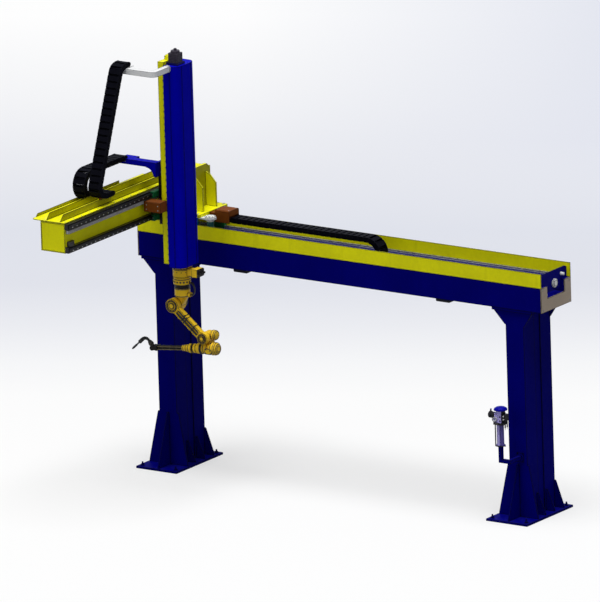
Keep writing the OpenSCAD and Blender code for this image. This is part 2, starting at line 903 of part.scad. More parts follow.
// Servo motor on its adapter flange: square body, brake and encoder on top, side plug
module z_motor() {
    half = 75;
    c = 14;
    body = [[c - half, -half], [half - c, -half], [half, c - half], [half, half - c],
            [half - c, half], [c - half, half], [-half, half - c], [-half, c - half]];
    color("gray")
        translate([cover_x0 + 95, ram_y - 60, cover_top]) {
            block([-90, -90, 0], [90, 90, 30]);
            translate([0, 0, 30])
                linear_extrude(128)
                    polygon(body);
            translate([0, 0, 158])
                turned([[62, 0], [62, 26], [56, 34], [22, 34], [22, 56], [14, 62]]);
            block([-98, -22, 64], [-74, 22, 112]);
        }
}

// White arm to the end of the ram's drag chain: a leg out from the cover's front, a rounded
// elbow, a leg along the cross beam and a plate on which the chain's end is bolted
module ram_chain_arm() {
    z1 = white_arm_z + white_arm_h;
    leg_x1 = cover_x0 + 120;
    leg_x0 = leg_x1 - white_arm_w;
    y1 = ram_front - 300;
    y0 = y1 - white_arm_w;
    left = z_chain_x - 80;
    color("white") {
        translate([0, 0, white_arm_z])
            linear_extrude(white_arm_h)
                union() {
                    translate([leg_x0, y1 - 1])
                        square([white_arm_w, 301]);
                    translate([left, y0])
                        square([leg_x0 - left + 1, white_arm_w]);
                    intersection() {
                        translate([leg_x0, y1])
                            circle(r = white_arm_w);
                        translate([leg_x0, y0])
                            square([white_arm_w, white_arm_w]);
                    }
                }
        // round pad on the cover's front
        translate([(leg_x0 + leg_x1) / 2, ram_front - 12, white_arm_z + white_arm_h / 2])
            rotate([-90, 0, 0])
                cylinder(r = 52, h = 12);
        // plate under the chain's end, its free corners rounded
        translate([0, 0, z1])
            linear_extrude(white_plate_t)
                union() {
                    translate([left - 20, ram_front - 325])
                        square([200, 125]);
                    translate([left + 10, ram_front - 355])
                        square([140, 60]);
                    for (x = [left + 10, left + 150])
                        translate([x, ram_front - 325])
                            circle(r = 30);
                }
    }
}

// ---------- robot arm ----------

j2 = [robot_x - axis_offset, ram_bottom - 572];
upper_tilt = 40;
j3 = [j2[0] + upper_arm_len * cos(upper_tilt), j2[1] - upper_arm_len * sin(upper_tilt)];
fore_tilt = 174;
j4 = [j3[0] + elbow_offset * sin(180 - fore_tilt), j3[1] - elbow_offset * cos(180 - fore_tilt)];
j5 = [j4[0] + forearm_len * cos(fore_tilt), j4[1] - forearm_len * sin(fore_tilt)];
torch_tilt = -131;
// the arm's side plates meet beside the arm's centre plane, one on each side of this line
arm_seam = 25;
arm_t = 80;
hub_r = 95;
elbow_hub_r = 78;

// Outline of a cast link: two round hubs, a waist of even width, tangents between them
module link_outline(r0, r1, len, waist) {
    lean = 50;
    function tangent_x(r) = r * cos(lean) + (r * sin(lean) - waist) / cos(lean) * sin(lean);
    half = [[0, 0], [r0 * cos(lean), r0 * sin(lean)], [tangent_x(r0), waist],
            [len - tangent_x(r1), waist], [len - r1 * cos(lean), r1 * sin(lean)], [len, 0]];
    circle(r = r0);
    translate([len, 0])
        circle(r = r1);
    polygon(half);
    mirror([0, 1])
        polygon(half);
}

// Base under the ram: mounting flange, drum, and the connector box at its back
module robot_base() {
    color("goldenrod")
        translate([robot_x, robot_y, ram_bottom]) {
            translate([0, 0, -165])
                turned([[112, 0], [121, 8], [121, 104], [128, 110], [128, 118], [121, 124],
                        [121, 140], [150, 144], [150, 165]]);
            block([90, -46, -140], [196, 46, -40]);
            translate([196, -60, -146])
                rotate([90, 0, 90])
                    linear_extrude(90)
                        polygon([[0, 0], [150, 0], [170, 20], [170, 92], [150, 112], [0, 112]]);
            for (y = [-24, 26, 76])
                translate([286, y, -92])
                    rotate([0, 90, 0])
                        turned([[20, 0], [20, 14], [15, 16], [15, 36]]);
        }
}

// Slewing casting: drum under the base, shoulder blended into the second axis' housing,
// and that axis' motor on the far side
module robot_turret() {
    gap = 0.3;
    top = ram_bottom - 165.5;
    color("goldenrod")
        translate([robot_x, robot_y, 0]) {
            translate([0, 0, j2[1] + 128])
                turned([[92, 0], [104, 14], [104, top - j2[1] - 128 - 104], [118, top - j2[1] - 128 - 100],
                        [118, top - j2[1] - 128 - 30], [114, top - j2[1] - 128 - 26],
                        [114, top - j2[1] - 128]]);
            hull() {
                translate([10, 42, j2[1] + 128])
                    cylinder(r = 56, h = 14, $fn = 32);
                translate([-axis_offset, -14, j2[1]])
                    rotate([-90, 0, 0])
                        cylinder(r = 84, h = 112, $fn = 32);
            }
            translate([-axis_offset, gap - arm_seam, j2[1]])
                rotate([-90, 0, 0])
                    turned([[88, 0], [hub_r, 6], [hub_r, 124], [88, 141], [66, 141], [66, 150], [58, 154],
                            [58, 226], [50, 238], [24, 240]]);
            // plug of the motor, and the clamp that holds the hoses on the drum
            translate([-axis_offset - 24, 176, j2[1] + 48])
                cube([48, 46, 34]);
            translate([84, -34, j2[1] + 190])
                rotate([0, 90, 0])
                    linear_extrude(62)
                        difference() {
                            square([52, 68]);
                            for (y = [19, 49])
                                translate([26, y])
                                    circle(r = 11);
                        }
        }
}

// Cast upper arm: hubs, two ribs along a pocket, hub covers, hose clamps on the lower side
module robot_upper_arm() {
    waist = 54;
    rib = 20;
    pocket = 14;
    color("goldenrod")
        translate([j2[0], robot_y - arm_seam, j2[1]])
            rotate([0, upper_tilt, 0])
                rotate([90, 0, 0]) {
                    difference() {
                        linear_extrude(arm_t)
                            link_outline(100, 82, upper_arm_len, waist);
                        translate([0, 0, arm_t - pocket])
                            linear_extrude(pocket + 1) {
                                translate([142, rib - waist])
                                    square([upper_arm_len - 264, 2 * (waist - rib)]);
                                translate([142, 0])
                                    circle(r = waist - rib);
                                translate([upper_arm_len - 122, 0])
                                    circle(r = waist - rib);
                            }
                    }
                    for (h = [[0, 80], [upper_arm_len, 64]])
                        translate([h[0], 0, arm_t]) {
                            difference() {
                                cylinder(r = h[1], h = 9);
                                translate([0, 0, 2])
                                    cylinder(r = h[1] - 14, h = 8);
                            }
                            turned([[h[1] * 0.5, 0], [h[1] * 0.5, 10], [h[1] * 0.4, 15]]);
                        }
                    for (x = [150, 250, 350, 450])
                        translate([x, -waist - 20, 22])
                            cube([42, 22, 36]);
                }
}

// Elbow: third axis' hub, wrist-drive housing across it, and the forearm's roll motor
module robot_elbow() {
    gap = 0.3;
    color("goldenrod") {
        translate([j3[0], robot_y - arm_seam + gap, j3[1]])
            rotate([-90, 0, 0])
                turned([[72, 0], [elbow_hub_r, 6], [elbow_hub_r, 128], [70, 141], [46, 141], [40, 156]]);
        translate([j4[0], robot_y, j4[1]])
            rotate([0, fore_tilt + 90, 0])
                translate([0, 0, -182])
                    turned([[34, 0], [62, 8], [82, 28], [88, 52], [88, 90], [68, 102], [68, 250],
                            [76, 256], [76, 276], [70, 282], [70, 342]]);
        translate([j3[0], robot_y, j3[1]])
            rotate([0, fore_tilt - 180, 0])
                block([-62, -14, -elbow_offset], [62, 96, 0]);
        translate([j3[0] + 62, robot_y + 48, j3[1] + 30])
            rotate([0, 90, 0])
                turned([[64, 0], [66, 20], [66, 58], [58, 74], [42, 84], [20, 90]]);
        // cover plate with its screw bosses on the drive housing's front
        translate([j4[0] + 60, robot_y - 62, j4[1] - 34])
            rotate([90, 0, 0])
                linear_extrude(22)
                    polygon([[-44, -20], [44, -20], [56, 0], [56, 52], [-44, 52], [-56, 30]]);
    }
}

// Forearm: cast cone behind, slim tube with clamp rings, fork for the wrist
module robot_forearm() {
    tube_z = 402;
    fork_z = forearm_len - 80;
    translate([j4[0], robot_y, j4[1]])
        rotate([0, fore_tilt + 90, 0]) {
            color("goldenrod")
                translate([0, 0, 160.3])
                    turned([[64, 0], [64, 46], [54, 54], [54, 70], [62, 76], [62, 126], [50, 150],
                            [50, 168], [40, 214], [40, 242]]);
            color("#404040")
                translate([0, 0, tube_z])
                    cylinder(r = 34, h = fork_z - tube_z + 2);
            color("silver")
                for (z = [0.22, 0.5, 0.78])
                    translate([0, 0, tube_z + z * (fork_z - tube_z) - 9])
                        cylinder(r = 38, h = 18);
            color("#404040") {
                translate([0, 0, fork_z])
                    linear_extrude(25)
                        square([72, 108], center = true);
                for (s = [-1, 1])
                    translate([0, s * 47 + 7, forearm_len])
                        rotate([90, 0, 0])
                            linear_extrude(14) {
                                circle(r = 35);
                                translate([-30, -60])
                                    square([60, 60]);
                            }
            }
        }
}

// Wrist: cross body between the fork's cheeks and the torch drive
module robot_wrist() {
    color("#404040")
        translate([j5[0], robot_y, j5[1]]) {
            rotate([90, 0, 0])
                translate([0, 0, -39.7])
                    turned([[30, 0], [34, 3], [34, 76.4], [30, 79.4]]);
            rotate([0, torch_tilt + 90, 0])
                turned([[28, 0], [28, 44], [36, 48], [36, 74], [32, 80]]);
        }
}

// Welding torch: clamp on the flange, body, bent neck, gas nozzle
module welding_torch() {
    neck_r = 70;
    bend = 91;
    reach = 35;
    color("#303030")
        translate([j5[0], robot_y, j5[1]])
            rotate([0, torch_tilt + 90, 0])
                translate([0, 0, 80.3]) {
                    turned([[31, 0], [31, 14], [24, 18], [24, 28], [18, 32], [18, reach + 2]]);
                    translate([-neck_r, 0, reach])
                        rotate([90, 0, 0]) {
                            rotate_extrude(angle = bend)
                                translate([neck_r, 0])
                                    circle(r = 13);
                            rotate([0, 0, bend])
                                translate([neck_r, 0, 0])
                                    rotate([-90, 0, 0])
                                        turned([[15, -3], [15, 30], [11, 34], [11, 134], [15, 138], [15, 206],
                                                [11, 230], [4, 231], [3, 247]]);
                        }
                }
}

module left_base_plate() {
    color("navy")
        base_plate(0);
}

module left_column() {
    color("navy")
        column(0);
}

module right_base_plate() {
    color("navy")
        base_plate(column_spacing);
}

module right_column() {
    color("navy")
        column(column_spacing);
}

module front_guard() {
    guard(-1);
}

module rear_guard() {
    guard(1);
}

left_base_plate();
left_column();
right_base_plate();
right_column();
cross_beam();
front_guard();
rear_guard();
beam_end_plates();
beam_feet();
x_rails();
x_rack();
x_drag_chain();
station_bracket();
station_cylinders();
station_head();
carriage_plate();
carriage_risers();
x_drive();
x_chain_bracket();
beam_bracket();
y_beam();
y_rails();
y_rack();
chain_tray();
chain_anchors();
y_end_stop();
saddle_plate();
y_bearings();
z_bearings();
y_chain_bracket();
chain_arm();
y_drag_chain();
z_drag_chain();
ram_plate();
ram_cover();
z_rails();
z_motor();
ram_chain_arm();
robot_base();
robot_turret();
robot_upper_arm();
robot_elbow();
robot_forearm();
robot_wrist();
welding_torch();
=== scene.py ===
import json
import math

import bmesh
import bpy
from mathutils import Matrix, Vector


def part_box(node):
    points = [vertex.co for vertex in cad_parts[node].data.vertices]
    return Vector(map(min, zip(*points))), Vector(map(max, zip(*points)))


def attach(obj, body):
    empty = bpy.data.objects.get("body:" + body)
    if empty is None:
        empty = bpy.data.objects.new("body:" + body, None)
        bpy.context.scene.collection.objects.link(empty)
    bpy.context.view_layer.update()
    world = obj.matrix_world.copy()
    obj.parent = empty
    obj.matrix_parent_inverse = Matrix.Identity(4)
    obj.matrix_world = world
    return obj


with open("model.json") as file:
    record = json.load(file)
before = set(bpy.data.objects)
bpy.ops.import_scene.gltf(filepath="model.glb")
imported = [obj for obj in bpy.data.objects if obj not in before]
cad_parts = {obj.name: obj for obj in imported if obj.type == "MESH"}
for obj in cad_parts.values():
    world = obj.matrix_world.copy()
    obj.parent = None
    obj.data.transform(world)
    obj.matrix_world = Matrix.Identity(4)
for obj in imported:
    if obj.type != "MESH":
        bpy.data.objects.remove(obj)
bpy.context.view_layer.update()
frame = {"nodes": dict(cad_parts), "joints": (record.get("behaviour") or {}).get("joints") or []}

# ---------------------------------------------------------------- camera
# A long lens from far off keeps the machine's parallel edges parallel, as in a technical view.
# It looks from the front and a little from the right, 15 degrees down.
camera_place = Vector((181.58715, -263.79251, 88.34915))
camera_turn, camera_tilt, camera_roll = 0.5977638, 0.2628595, -0.0304236
forward = Vector((-math.sin(camera_turn) * math.cos(camera_tilt),
                  math.cos(camera_turn) * math.cos(camera_tilt),
                  -math.sin(camera_tilt)))
level = Vector((math.cos(camera_turn), math.sin(camera_turn), 0))
upward = level.cross(forward)
right = level * math.cos(camera_roll) + upward * math.sin(camera_roll)
top = upward * math.cos(camera_roll) - level * math.sin(camera_roll)

camera_data = bpy.data.cameras.new("camera")
camera_data.sensor_width = 36
camera_data.lens = 1471.9
camera_data.clip_start, camera_data.clip_end = 5, 900
camera = bpy.data.objects.new("camera", camera_data)
bpy.context.scene.collection.objects.link(camera)
camera.matrix_world = Matrix([(right.x, top.x, -forward.x, camera_place.x),
                              (right.y, top.y, -forward.y, camera_place.y),
                              (right.z, top.z, -forward.z, camera_place.z),
                              (0, 0, 0, 1)])
bpy.context.scene.camera = camera
bpy.context.scene.view_settings.view_transform = "Standard"

# ---------------------------------------------------------------- shop floor and light
# A plain pale floor under the feet. To the eye it is white in front and fades to a cool grey
# at the back; the light that it throws back on the machine is weaker, as from a grey screed.
floor_left, floor_right, floor_front, floor_back, floor_height = -90, 95, -90, 120, -0.001
floor_mesh = bpy.data.meshes.new("floor")
floor_mesh.from_pydata([(x, y, floor_height) for x, y in (
    (floor_left, floor_front), (floor_right, floor_front), (floor_right, floor_back),
    (floor_left, floor_back))], [], [(0, 1, 2, 3)])
floor = bpy.data.objects.new("floor", floor_mesh)
bpy.context.scene.collection.objects.link(floor)
floor_finish = bpy.data.materials.new("pale floor")
floor_finish.use_nodes = True
floor_tree = floor_finish.node_tree


def remap_in(tree, value, low, high, new_low, new_high):
    """Maps one range of a value to another, held at both ends."""
    change = tree.nodes.new("ShaderNodeMapRange")
    tree.links.new(value, change.inputs["Value"])
    for key, number in zip(("From Min", "From Max", "To Min", "To Max"),
                           (low, high, new_low, new_high)):
        change.inputs[key].default_value = number
    return change.outputs[0]


def maths_in(tree, operation, first, second):
    """One sum of two values, numbers or sockets."""
    node = tree.nodes.new("ShaderNodeMath")
    node.operation = operation
    for socket, value in zip(node.inputs, (first, second)):
        if isinstance(value, (int, float)):
            socket.default_value = value
        else:
            tree.links.new(value, socket)
    return node.outputs[0]


def mix_in(tree, amount, first, second):
    """A colour mix; either colour may be a tuple or a socket."""
    node = tree.nodes.new("ShaderNodeMix")
    node.data_type = "RGBA"
    tree.links.new(amount, node.inputs[0])
    for socket, value in ((node.inputs[6], first), (node.inputs[7], second)):
        if isinstance(value, tuple):
            socket.default_value = (*value, 1)
        else:
            tree.links.new(value, socket)
    return node.outputs[2]


def blend_shaders_in(tree, amount, first, second):
    """One shader fading into another by a number or a mask."""
    node = tree.nodes.new("ShaderNodeMixShader")
    if isinstance(amount, float):
        node.inputs[0].default_value = amount
    else:
        tree.links.new(amount, node.inputs[0])
    tree.links.new(first.outputs[0], node.inputs[1])
    tree.links.new(second.outputs[0], node.inputs[2])
    return node


def seen_in(tree):
    """1 where something is seen straight on, mirrored or through glass, 0 where it only lights."""
    rays = tree.nodes.new("ShaderNodeLightPath").outputs
    straight_or_mirrored = maths_in(tree, "MAXIMUM", rays["Is Camera Ray"], rays["Is Glossy Ray"])
    return maths_in(tree, "MAXIMUM", straight_or_mirrored, rays["Is Transmission Ray"])


def floor_run(direction, start, end, most):
    """A value that grows along a direction over the floor, from 0 at the start to most."""
    along = floor_tree.nodes.new("ShaderNodeVectorMath")
    along.operation = "DOT_PRODUCT"
    along.inputs[1].default_value = direction
    floor_tree.links.new(floor_place.outputs["Position"], along.inputs[0])
    return remap_in(floor_tree, along.outputs["Value"], start, end, 0, most)


floor_place = floor_tree.nodes.new("ShaderNodeNewGeometry")
to_the_back, to_the_right = (-0.46, 0.89, 0), (0.834, 0.552, 0)
floor_tone = floor_tree.nodes.new("ShaderNodeValToRGB")
floor_tree.links.new(floor_run(to_the_back, 0, 24, 1), floor_tone.inputs[0])
for stop, tone in ((0.0, (1, 1, 1)), (0.135, (0.985, 0.985, 0.985)), (0.21, (0.93, 0.935, 0.95)),
                   (0.29, (0.84, 0.85, 0.89)), (0.38, (0.76, 0.775, 0.84)),
                   (0.50, (0.75, 0.77, 0.84)), (0.64, (0.82, 0.83, 0.875)),
                   (0.80, (0.91, 0.915, 0.935)), (1.0, (0.98, 0.98, 0.985))):
    mark = floor_tone.color_ramp.elements.new(stop)
    mark.color = (*tone, 1)
floor_tone.color_ramp.elements.remove(floor_tone.color_ramp.elements[0])
floor_tone.color_ramp.elements.remove(floor_tone.color_ramp.elements[-1])
far_corner = maths_in(floor_tree, "MULTIPLY", floor_run(to_the_right, 0.5, 6, 0.95),
                      floor_run(to_the_back, 11, 17, 1))
floor_colour = mix_in(floor_tree, far_corner, floor_tone.outputs[0], (0.77, 0.79, 0.87))
pale_screed = floor_tree.nodes["Principled BSDF"]
pale_screed.inputs["Roughness"].default_value = 0.95
pale_screed.inputs["Specular IOR Level"].default_value = 0.0
floor_tree.links.new(floor_colour, pale_screed.inputs["Base Color"])
floor_glow = floor_tree.nodes.new("ShaderNodeEmission")
floor_glow.inputs["Strength"].default_value = 0.88
floor_tree.links.new(floor_colour, floor_glow.inputs["Color"])
grey_screed = floor_tree.nodes.new("ShaderNodeBsdfDiffuse")
grey_screed.inputs["Color"].default_value = (0.22, 0.23, 0.25, 1)
floor_choice = blend_shaders_in(floor_tree, seen_in(floor_tree), grey_screed,
                                blend_shaders_in(floor_tree, 0.62, pale_screed, floor_glow))
floor_tree.links.new(floor_choice.outputs[0], floor_tree.nodes["Material Output"].inputs["Surface"])
floor.data.materials.append(floor_finish)

studio = bpy.data.worlds.new("studio")
bpy.context.scene.world = studio
studio.use_nodes = True
studio_tree = studio.node_tree
ambient = studio_tree.nodes["Background"]
ambient.inputs["Color"].default_value = (0.95, 0.97, 1, 1)
ambient.inputs["Strength"].default_value = 0.15
backdrop = studio_tree.nodes.new("ShaderNodeBackground")
backdrop.inputs["Color"].default_value = (0.76, 0.79, 0.86, 1)
studio_choice = blend_shaders_in(studio_tree, seen_in(studio_tree), ambient, backdrop)
studio_tree.links.new(studio_choice.outputs[0], studio_tree.nodes["World Output"].inputs["Surface"])

# Broad soft light from above and a weaker one from the front left, so that tops are
# brightest, fronts are half as bright, and the faces to the right are darkest.
for lamp_name, strength, spread, towards in [("overhead softbox", 3.1, 40, (-0.04, 0.15, -0.985)),
                                             ("front softbox", 0.36, 50, (0.30, 0.92, -0.25)),
                                             ("side softbox", 0.22, 60, (-0.92, 0.30, -0.25))]:
    lamp_data = bpy.data.lights.new(lamp_name, "SUN")
    lamp_data.energy = strength
    lamp_data.angle = math.radians(spread)
    lamp = bpy.data.objects.new(lamp_name, lamp_data)
    lamp.rotation_mode = "QUATERNION"
    lamp.rotation_quaternion = Vector(towards).to_track_quat("-Z", "Y")
    bpy.context.scene.collection.objects.link(lamp)

# ---------------------------------------------------------------- columns and base plates
# Two welded box columns on anchored base plates, all in dark blue machine enamel.
# The enamel thins to a dark line at edges, and dust settles on what faces up.


def new_group(title, inputs):
    """A shader group with named number and colour inputs; it puts out colour, roughness, height."""
    group = bpy.data.node_groups.new(title, "ShaderNodeTree")
    for name, value in inputs:
        kind = "NodeSocketColor" if isinstance(value, tuple) else "NodeSocketFloat"
        group.interface.new_socket(name, in_out="INPUT", socket_type=kind).default_value = value
    for name, kind in [("Colour", "NodeSocketColor"), ("Roughness", "NodeSocketFloat"),
                       ("Height", "NodeSocketFloat")]:
        group.interface.new_socket(name, in_out="OUTPUT", socket_type=kind)
    return (group, group.nodes.new("NodeGroupInput").outputs,
            group.nodes.new("NodeGroupOutput").inputs)


def noise_in(group, scale, detail, rough=0.5, stretch=(1, 1, 1)):
    """Noise fixed to the piece, stretched along its axes."""
    place = group.nodes.new("ShaderNodeTexCoord")
    mapping = group.nodes.new("ShaderNodeMapping")
    mapping.inputs["Scale"].default_value = stretch
    noise = group.nodes.new("ShaderNodeTexNoise")
    noise.inputs["Scale"].default_value = scale
    noise.inputs["Detail"].default_value = detail
    noise.inputs["Roughness"].default_value = rough
    group.links.new(place.outputs["Object"], mapping.inputs["Vector"])
    group.links.new(mapping.outputs[0], noise.inputs["Vector"])
    return noise.outputs["Fac"]


def marks_in(group, grain, span, new_span):
    """Noise of a scale, detail, roughness and stretch, with a span of it mapped to a new span."""
    return remap_in(group, noise_in(group, *grain), *span, *new_span)


def times_in(group, first, second):
    """Two values multiplied."""
    return maths_in(group, "MULTIPLY", first, second)


def shade_in(group, colour, factor):
    """A colour made lighter or darker by a changing factor."""
    node = group.nodes.new("ShaderNodeVectorMath")
    node.operation = "SCALE"
    group.links.new(colour, node.inputs[0])
    group.links.new(factor, node.inputs["Scale"])
    return node.outputs[0]


def edges_in(group, width):
    """A mask that is 1 along edges, as wide as the width socket says."""
    facing = group.nodes.new("ShaderNodeNewGeometry")
    rounded = group.nodes.new("ShaderNodeBevel")
    rounded.samples = 5
    group.links.new(width, rounded.inputs["Radius"])
    agree = group.nodes.new("ShaderNodeVectorMath")
    agree.operation = "DOT_PRODUCT"
    group.links.new(rounded.outputs[0], agree.inputs[0])
    group.links.new(facing.outputs["Normal"], agree.inputs[1])
    return remap_in(group, agree.outputs["Value"], 0.998, 0.965, 0, 1)


def upward_in(group):
    """A mask that is 1 on faces that look up."""
    facing = group.nodes.new("ShaderNodeNewGeometry")
    split = group.nodes.new("ShaderNodeSeparateXYZ")
    group.links.new(facing.outputs["Normal"], split.inputs[0])
    return remap_in(group, split.outputs["Z"], 0.5, 1, 0, 1)


enamel_coat, coat_in, coat_out = new_group("enamel coat", [
    ("Paint", (0.5, 0.5, 0.5, 1)), ("Edge line", 0.8), ("Edge width", 0.009), ("Dust", 0.1),
    ("Gloss", 0.4)])
tone_drift = marks_in(enamel_coat, (1.6, 3), (0.3, 0.7), (0.90, 1.07))
spray_marks = marks_in(enamel_coat, (24, 5, 0.6), (0.3, 0.7), (0.96, 1.04))
run_marks = marks_in(enamel_coat, (9, 4, 0.6, (1, 1, 0.08)), (0.55, 0.8), (1.0, 0.86))
painted = shade_in(enamel_coat, coat_in["Paint"],
                   times_in(enamel_coat, tone_drift, times_in(enamel_coat, spray_marks, run_marks)))
line_share = times_in(enamel_coat, edges_in(enamel_coat, coat_in["Edge width"]),
                      coat_in["Edge line"])
lined = mix_in(enamel_coat, line_share, painted, (0.003, 0.003, 0.005))
chips = times_in(enamel_coat, marks_in(enamel_coat, (55, 4, 0.7), (0.66, 0.70), (0, 1)),
                 edges_in(enamel_coat, coat_in["Edge width"]))
chipped = mix_in(enamel_coat, times_in(enamel_coat, chips, 0.5), lined, (0.20, 0.19, 0.18))
settled = times_in(enamel_coat, upward_in(enamel_coat),
                   marks_in(enamel_coat, (6, 6, 0.65), (0.42, 0.75), (0, 1)))
dusted = mix_in(enamel_coat, times_in(enamel_coat, settled, coat_in["Dust"]), chipped,
                (0.45, 0.44, 0.42))
haze = maths_in(enamel_coat, "ADD", times_in(enamel_coat, settled, 0.2),
                marks_in(enamel_coat, (40, 4), (0.3, 0.7), (-0.07, 0.09)))
enamel_coat.links.new(dusted, coat_out["Colour"])
enamel_coat.links.new(maths_in(enamel_coat, "ADD", coat_in["Gloss"], haze), coat_out["Roughness"])
enamel_coat.links.new(maths_in(enamel_coat, "ADD", noise_in(enamel_coat, 230, 2),
                               times_in(enamel_coat, noise_in(enamel_coat, 28, 3), 0.6)),
                      coat_out["Height"])


def finish_from(group, name, settings, relief, metallic=0.0, sheen_level=0.1, zones=()):
    """A material on a shared coat. Each zone is a colour, an axis, and the two places along
    that axis, in metres, between which the piece takes that colour instead."""
    finish = bpy.data.materials.new(name)
    finish.use_nodes = True
    tree = finish.node_tree
    shader = tree.nodes["Principled BSDF"]
    shader.inputs["Metallic"].default_value = metallic
    shader.inputs["Specular IOR Level"].default_value = sheen_level
    coat = tree.nodes.new("ShaderNodeGroup")
    coat.node_tree = group
    for key, value in settings.items():
        coat.inputs[key].default_value = (*value, 1) if isinstance(value, tuple) else value
    colour_key = list(settings)[0]
    colour = settings[colour_key]
    for zone_colour, axis, start, end in zones:
        place = tree.nodes.new("ShaderNodeTexCoord")
        along = tree.nodes.new("ShaderNodeVectorMath")
        along.operation = "DOT_PRODUCT"
        along.inputs[1].default_value = axis
        tree.links.new(place.outputs["Object"], along.inputs[0])
        within = times_in(tree, maths_in(tree, "GREATER_THAN", along.outputs["Value"], start),
                          maths_in(tree, "LESS_THAN", along.outputs["Value"], end))
        colour = mix_in(tree, within, colour, zone_colour)
    if zones:
        tree.links.new(colour, coat.inputs[colour_key])
    bump = tree.nodes.new("ShaderNodeBump")
    bump.inputs["Strength"].default_value = 0.25
    bump.inputs["Distance"].default_value = relief
    for source, target in ((coat.outputs["Colour"], shader.inputs["Base Color"]),
                           (coat.outputs["Roughness"], shader.inputs["Roughness"]),
                           (coat.outputs["Height"], bump.inputs["Height"]),
                           (bump.outputs[0], shader.inputs["Normal"])):
        tree.links.new(source, target)
    return finish


def enamel(name, paint, gloss=0.42, edge=0.95, width=0.017, dust=0.05, relief=0.0006, **more):
    """Sprayed machine enamel over steel or cast iron."""
    return finish_from(enamel_coat, name, {"Paint": paint, "Edge line": edge, "Edge width": width,
                                           "Dust": dust, "Gloss": gloss}, relief, **more)


def dress(finish, *node_names):
    """Gives CAD nodes a finish."""
    for node_name in node_names:
        node = frame["nodes"][node_name]
        node.data.materials.clear()
        node.data.materials.append(finish)


def spokes(count, start=0.0):
    """The cosine and sine of evenly spaced directions; start is a share of one step."""
    turns = [math.tau * (k + start) / count for k in range(count)]
    return [(math.cos(turn), math.sin(turn)) for turn in turns]


def add_tube(shape, rings):
    """Adds a closed skin over rings of vertices, each ring as long as the next."""
    count = len(rings[0])
    for below, above in zip(rings, rings[1:]):
        for k in range(count):
            shape.faces.new((below[k], below[(k + 1) % count], above[(k + 1) % count], above[k]))
    shape.faces.new(list(reversed(rings[0])))
    shape.faces.new(rings[-1])


def add_turned(shape, corners, place, sides):
    """Adds a solid turned on Z from [radius, height] corners, put in place by a matrix."""
    add_tube(shape, [[shape.verts.new(place @ Vector((radius * c, radius * s, height)))
                      for c, s in spokes(sides)] for radius, height in corners])


def facing(place, direction):
    """A matrix that puts local Z along a direction at a place."""
    turned = Vector(direction).to_track_quat("Z", "Y").to_matrix().to_4x4()
    return Matrix.Translation(place) @ turned


def fitted(name, shape, finish, body, round_edges=0.0):
    """Makes a piece from a shape: round faces smooth, edges lightly rounded, riding on a body."""
    bmesh.ops.recalc_face_normals(shape, faces=shape.faces)
    for face in shape.faces:
        face.smooth = True
    for edge in shape.edges:
        edge.smooth = edge.calc_face_angle(0) < math.radians(50)
    mesh = bpy.data.meshes.new(name)
    shape.to_mesh(mesh)
    shape.free()
    piece = bpy.data.objects.new(name, mesh)
    bpy.context.scene.collection.objects.link(piece)
    mesh.materials.append(finish)
    if round_edges:
        rounding = piece.modifiers.new("rounding", "BEVEL")
        rounding.width = round_edges
        rounding.segments = 2
        rounding.limit_method = "ANGLE"
        rounding.angle_limit = math.radians(40)
    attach(piece, body)
    return piece


portal_blue = enamel("portal blue enamel", (0.0008, 0.0008, 0.172), gloss=0.45, dust=0.015,
                     width=0.018, sheen_level=0.008)
dress(portal_blue, "left_base_plate", "left_column", "right_base_plate", "right_column")

# Each plate has four anchor rods with washer and nut, painted over with the plate.
anchors = bmesh.new()
anchor_reach_x, anchor_reach_y = 0.27, 0.49
for plate in ("left_base_plate", "right_base_plate"):
    plate_low, plate_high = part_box(plate)
    centre_x, centre_y = (plate_low[0] + plate_high[0]) / 2, (plate_low[1] + plate_high[1]) / 2
    for side in (-1, 1):
        for end in (-1, 1):
            seat = facing((centre_x + side * anchor_reach_x, centre_y + end * anchor_reach_y,
                           plate_high[2]), (0, 0, 1))
            add_turned(anchors, [(0.012, 0), (0.012, 0.048), (0.010, 0.052)], seat, 16)
            add_turned(anchors, [(0.032, 0), (0.032, 0.005)], seat, 24)
            add_turned(anchors, [(0.021, 0.005), (0.021, 0.025), (0.018, 0.028)], seat, 6)
fitted("anchor_nuts", anchors, portal_blue, "root")


def add_rope(shape, path, radius, sides):
    """A round bar, bead or hose along a path of points, its ends closed."""
    points = [Vector(p) for p in path]
    rings, side = [], None
    for k, point in enumerate(points):
        run = (points[min(k + 1, len(points) - 1)] - points[max(k - 1, 0)]).normalized()
        if side is None:
            side = run.orthogonal().normalized()
        side = (side - run * side.dot(run)).normalized()
        across = run.cross(side)
        rings.append([shape.verts.new(point + radius * (c * side + s * across))
                      for c, s in spokes(sides)])
    add_tube(shape, rings)


# Weld beads round each column's foot and under its cap, painted over.
beads = bmesh.new()
column_half_x, column_half_y, column_shift = 0.143, 0.325, 0.020
plate_top, cap_thick, bead_lift, bead_radius = 0.030, 0.040, 0.002, 0.006
for column, plate in (("left_column", "left_base_plate"), ("right_column", "right_base_plate")):
    axis_x = (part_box(plate)[0][0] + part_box(plate)[1][0]) / 2 + column_shift
    for height in (plate_top + bead_lift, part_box(column)[1][2] - cap_thick - bead_lift):
        for side in (-1, 1):
            along = [(axis_x + side * (column_half_x + 0.003),
                      -column_half_y + 2 * column_half_y * k / 40, height) for k in range(41)]
            across = [(axis_x - column_half_x + 2 * column_half_x * k / 20,
                       side * (column_half_y + 0.003), height) for k in range(21)]
            add_rope(beads, along, bead_radius, 8)
            add_rope(beads, across, bead_radius, 8)
fitted("weld_beads", beads, portal_blue, "root")

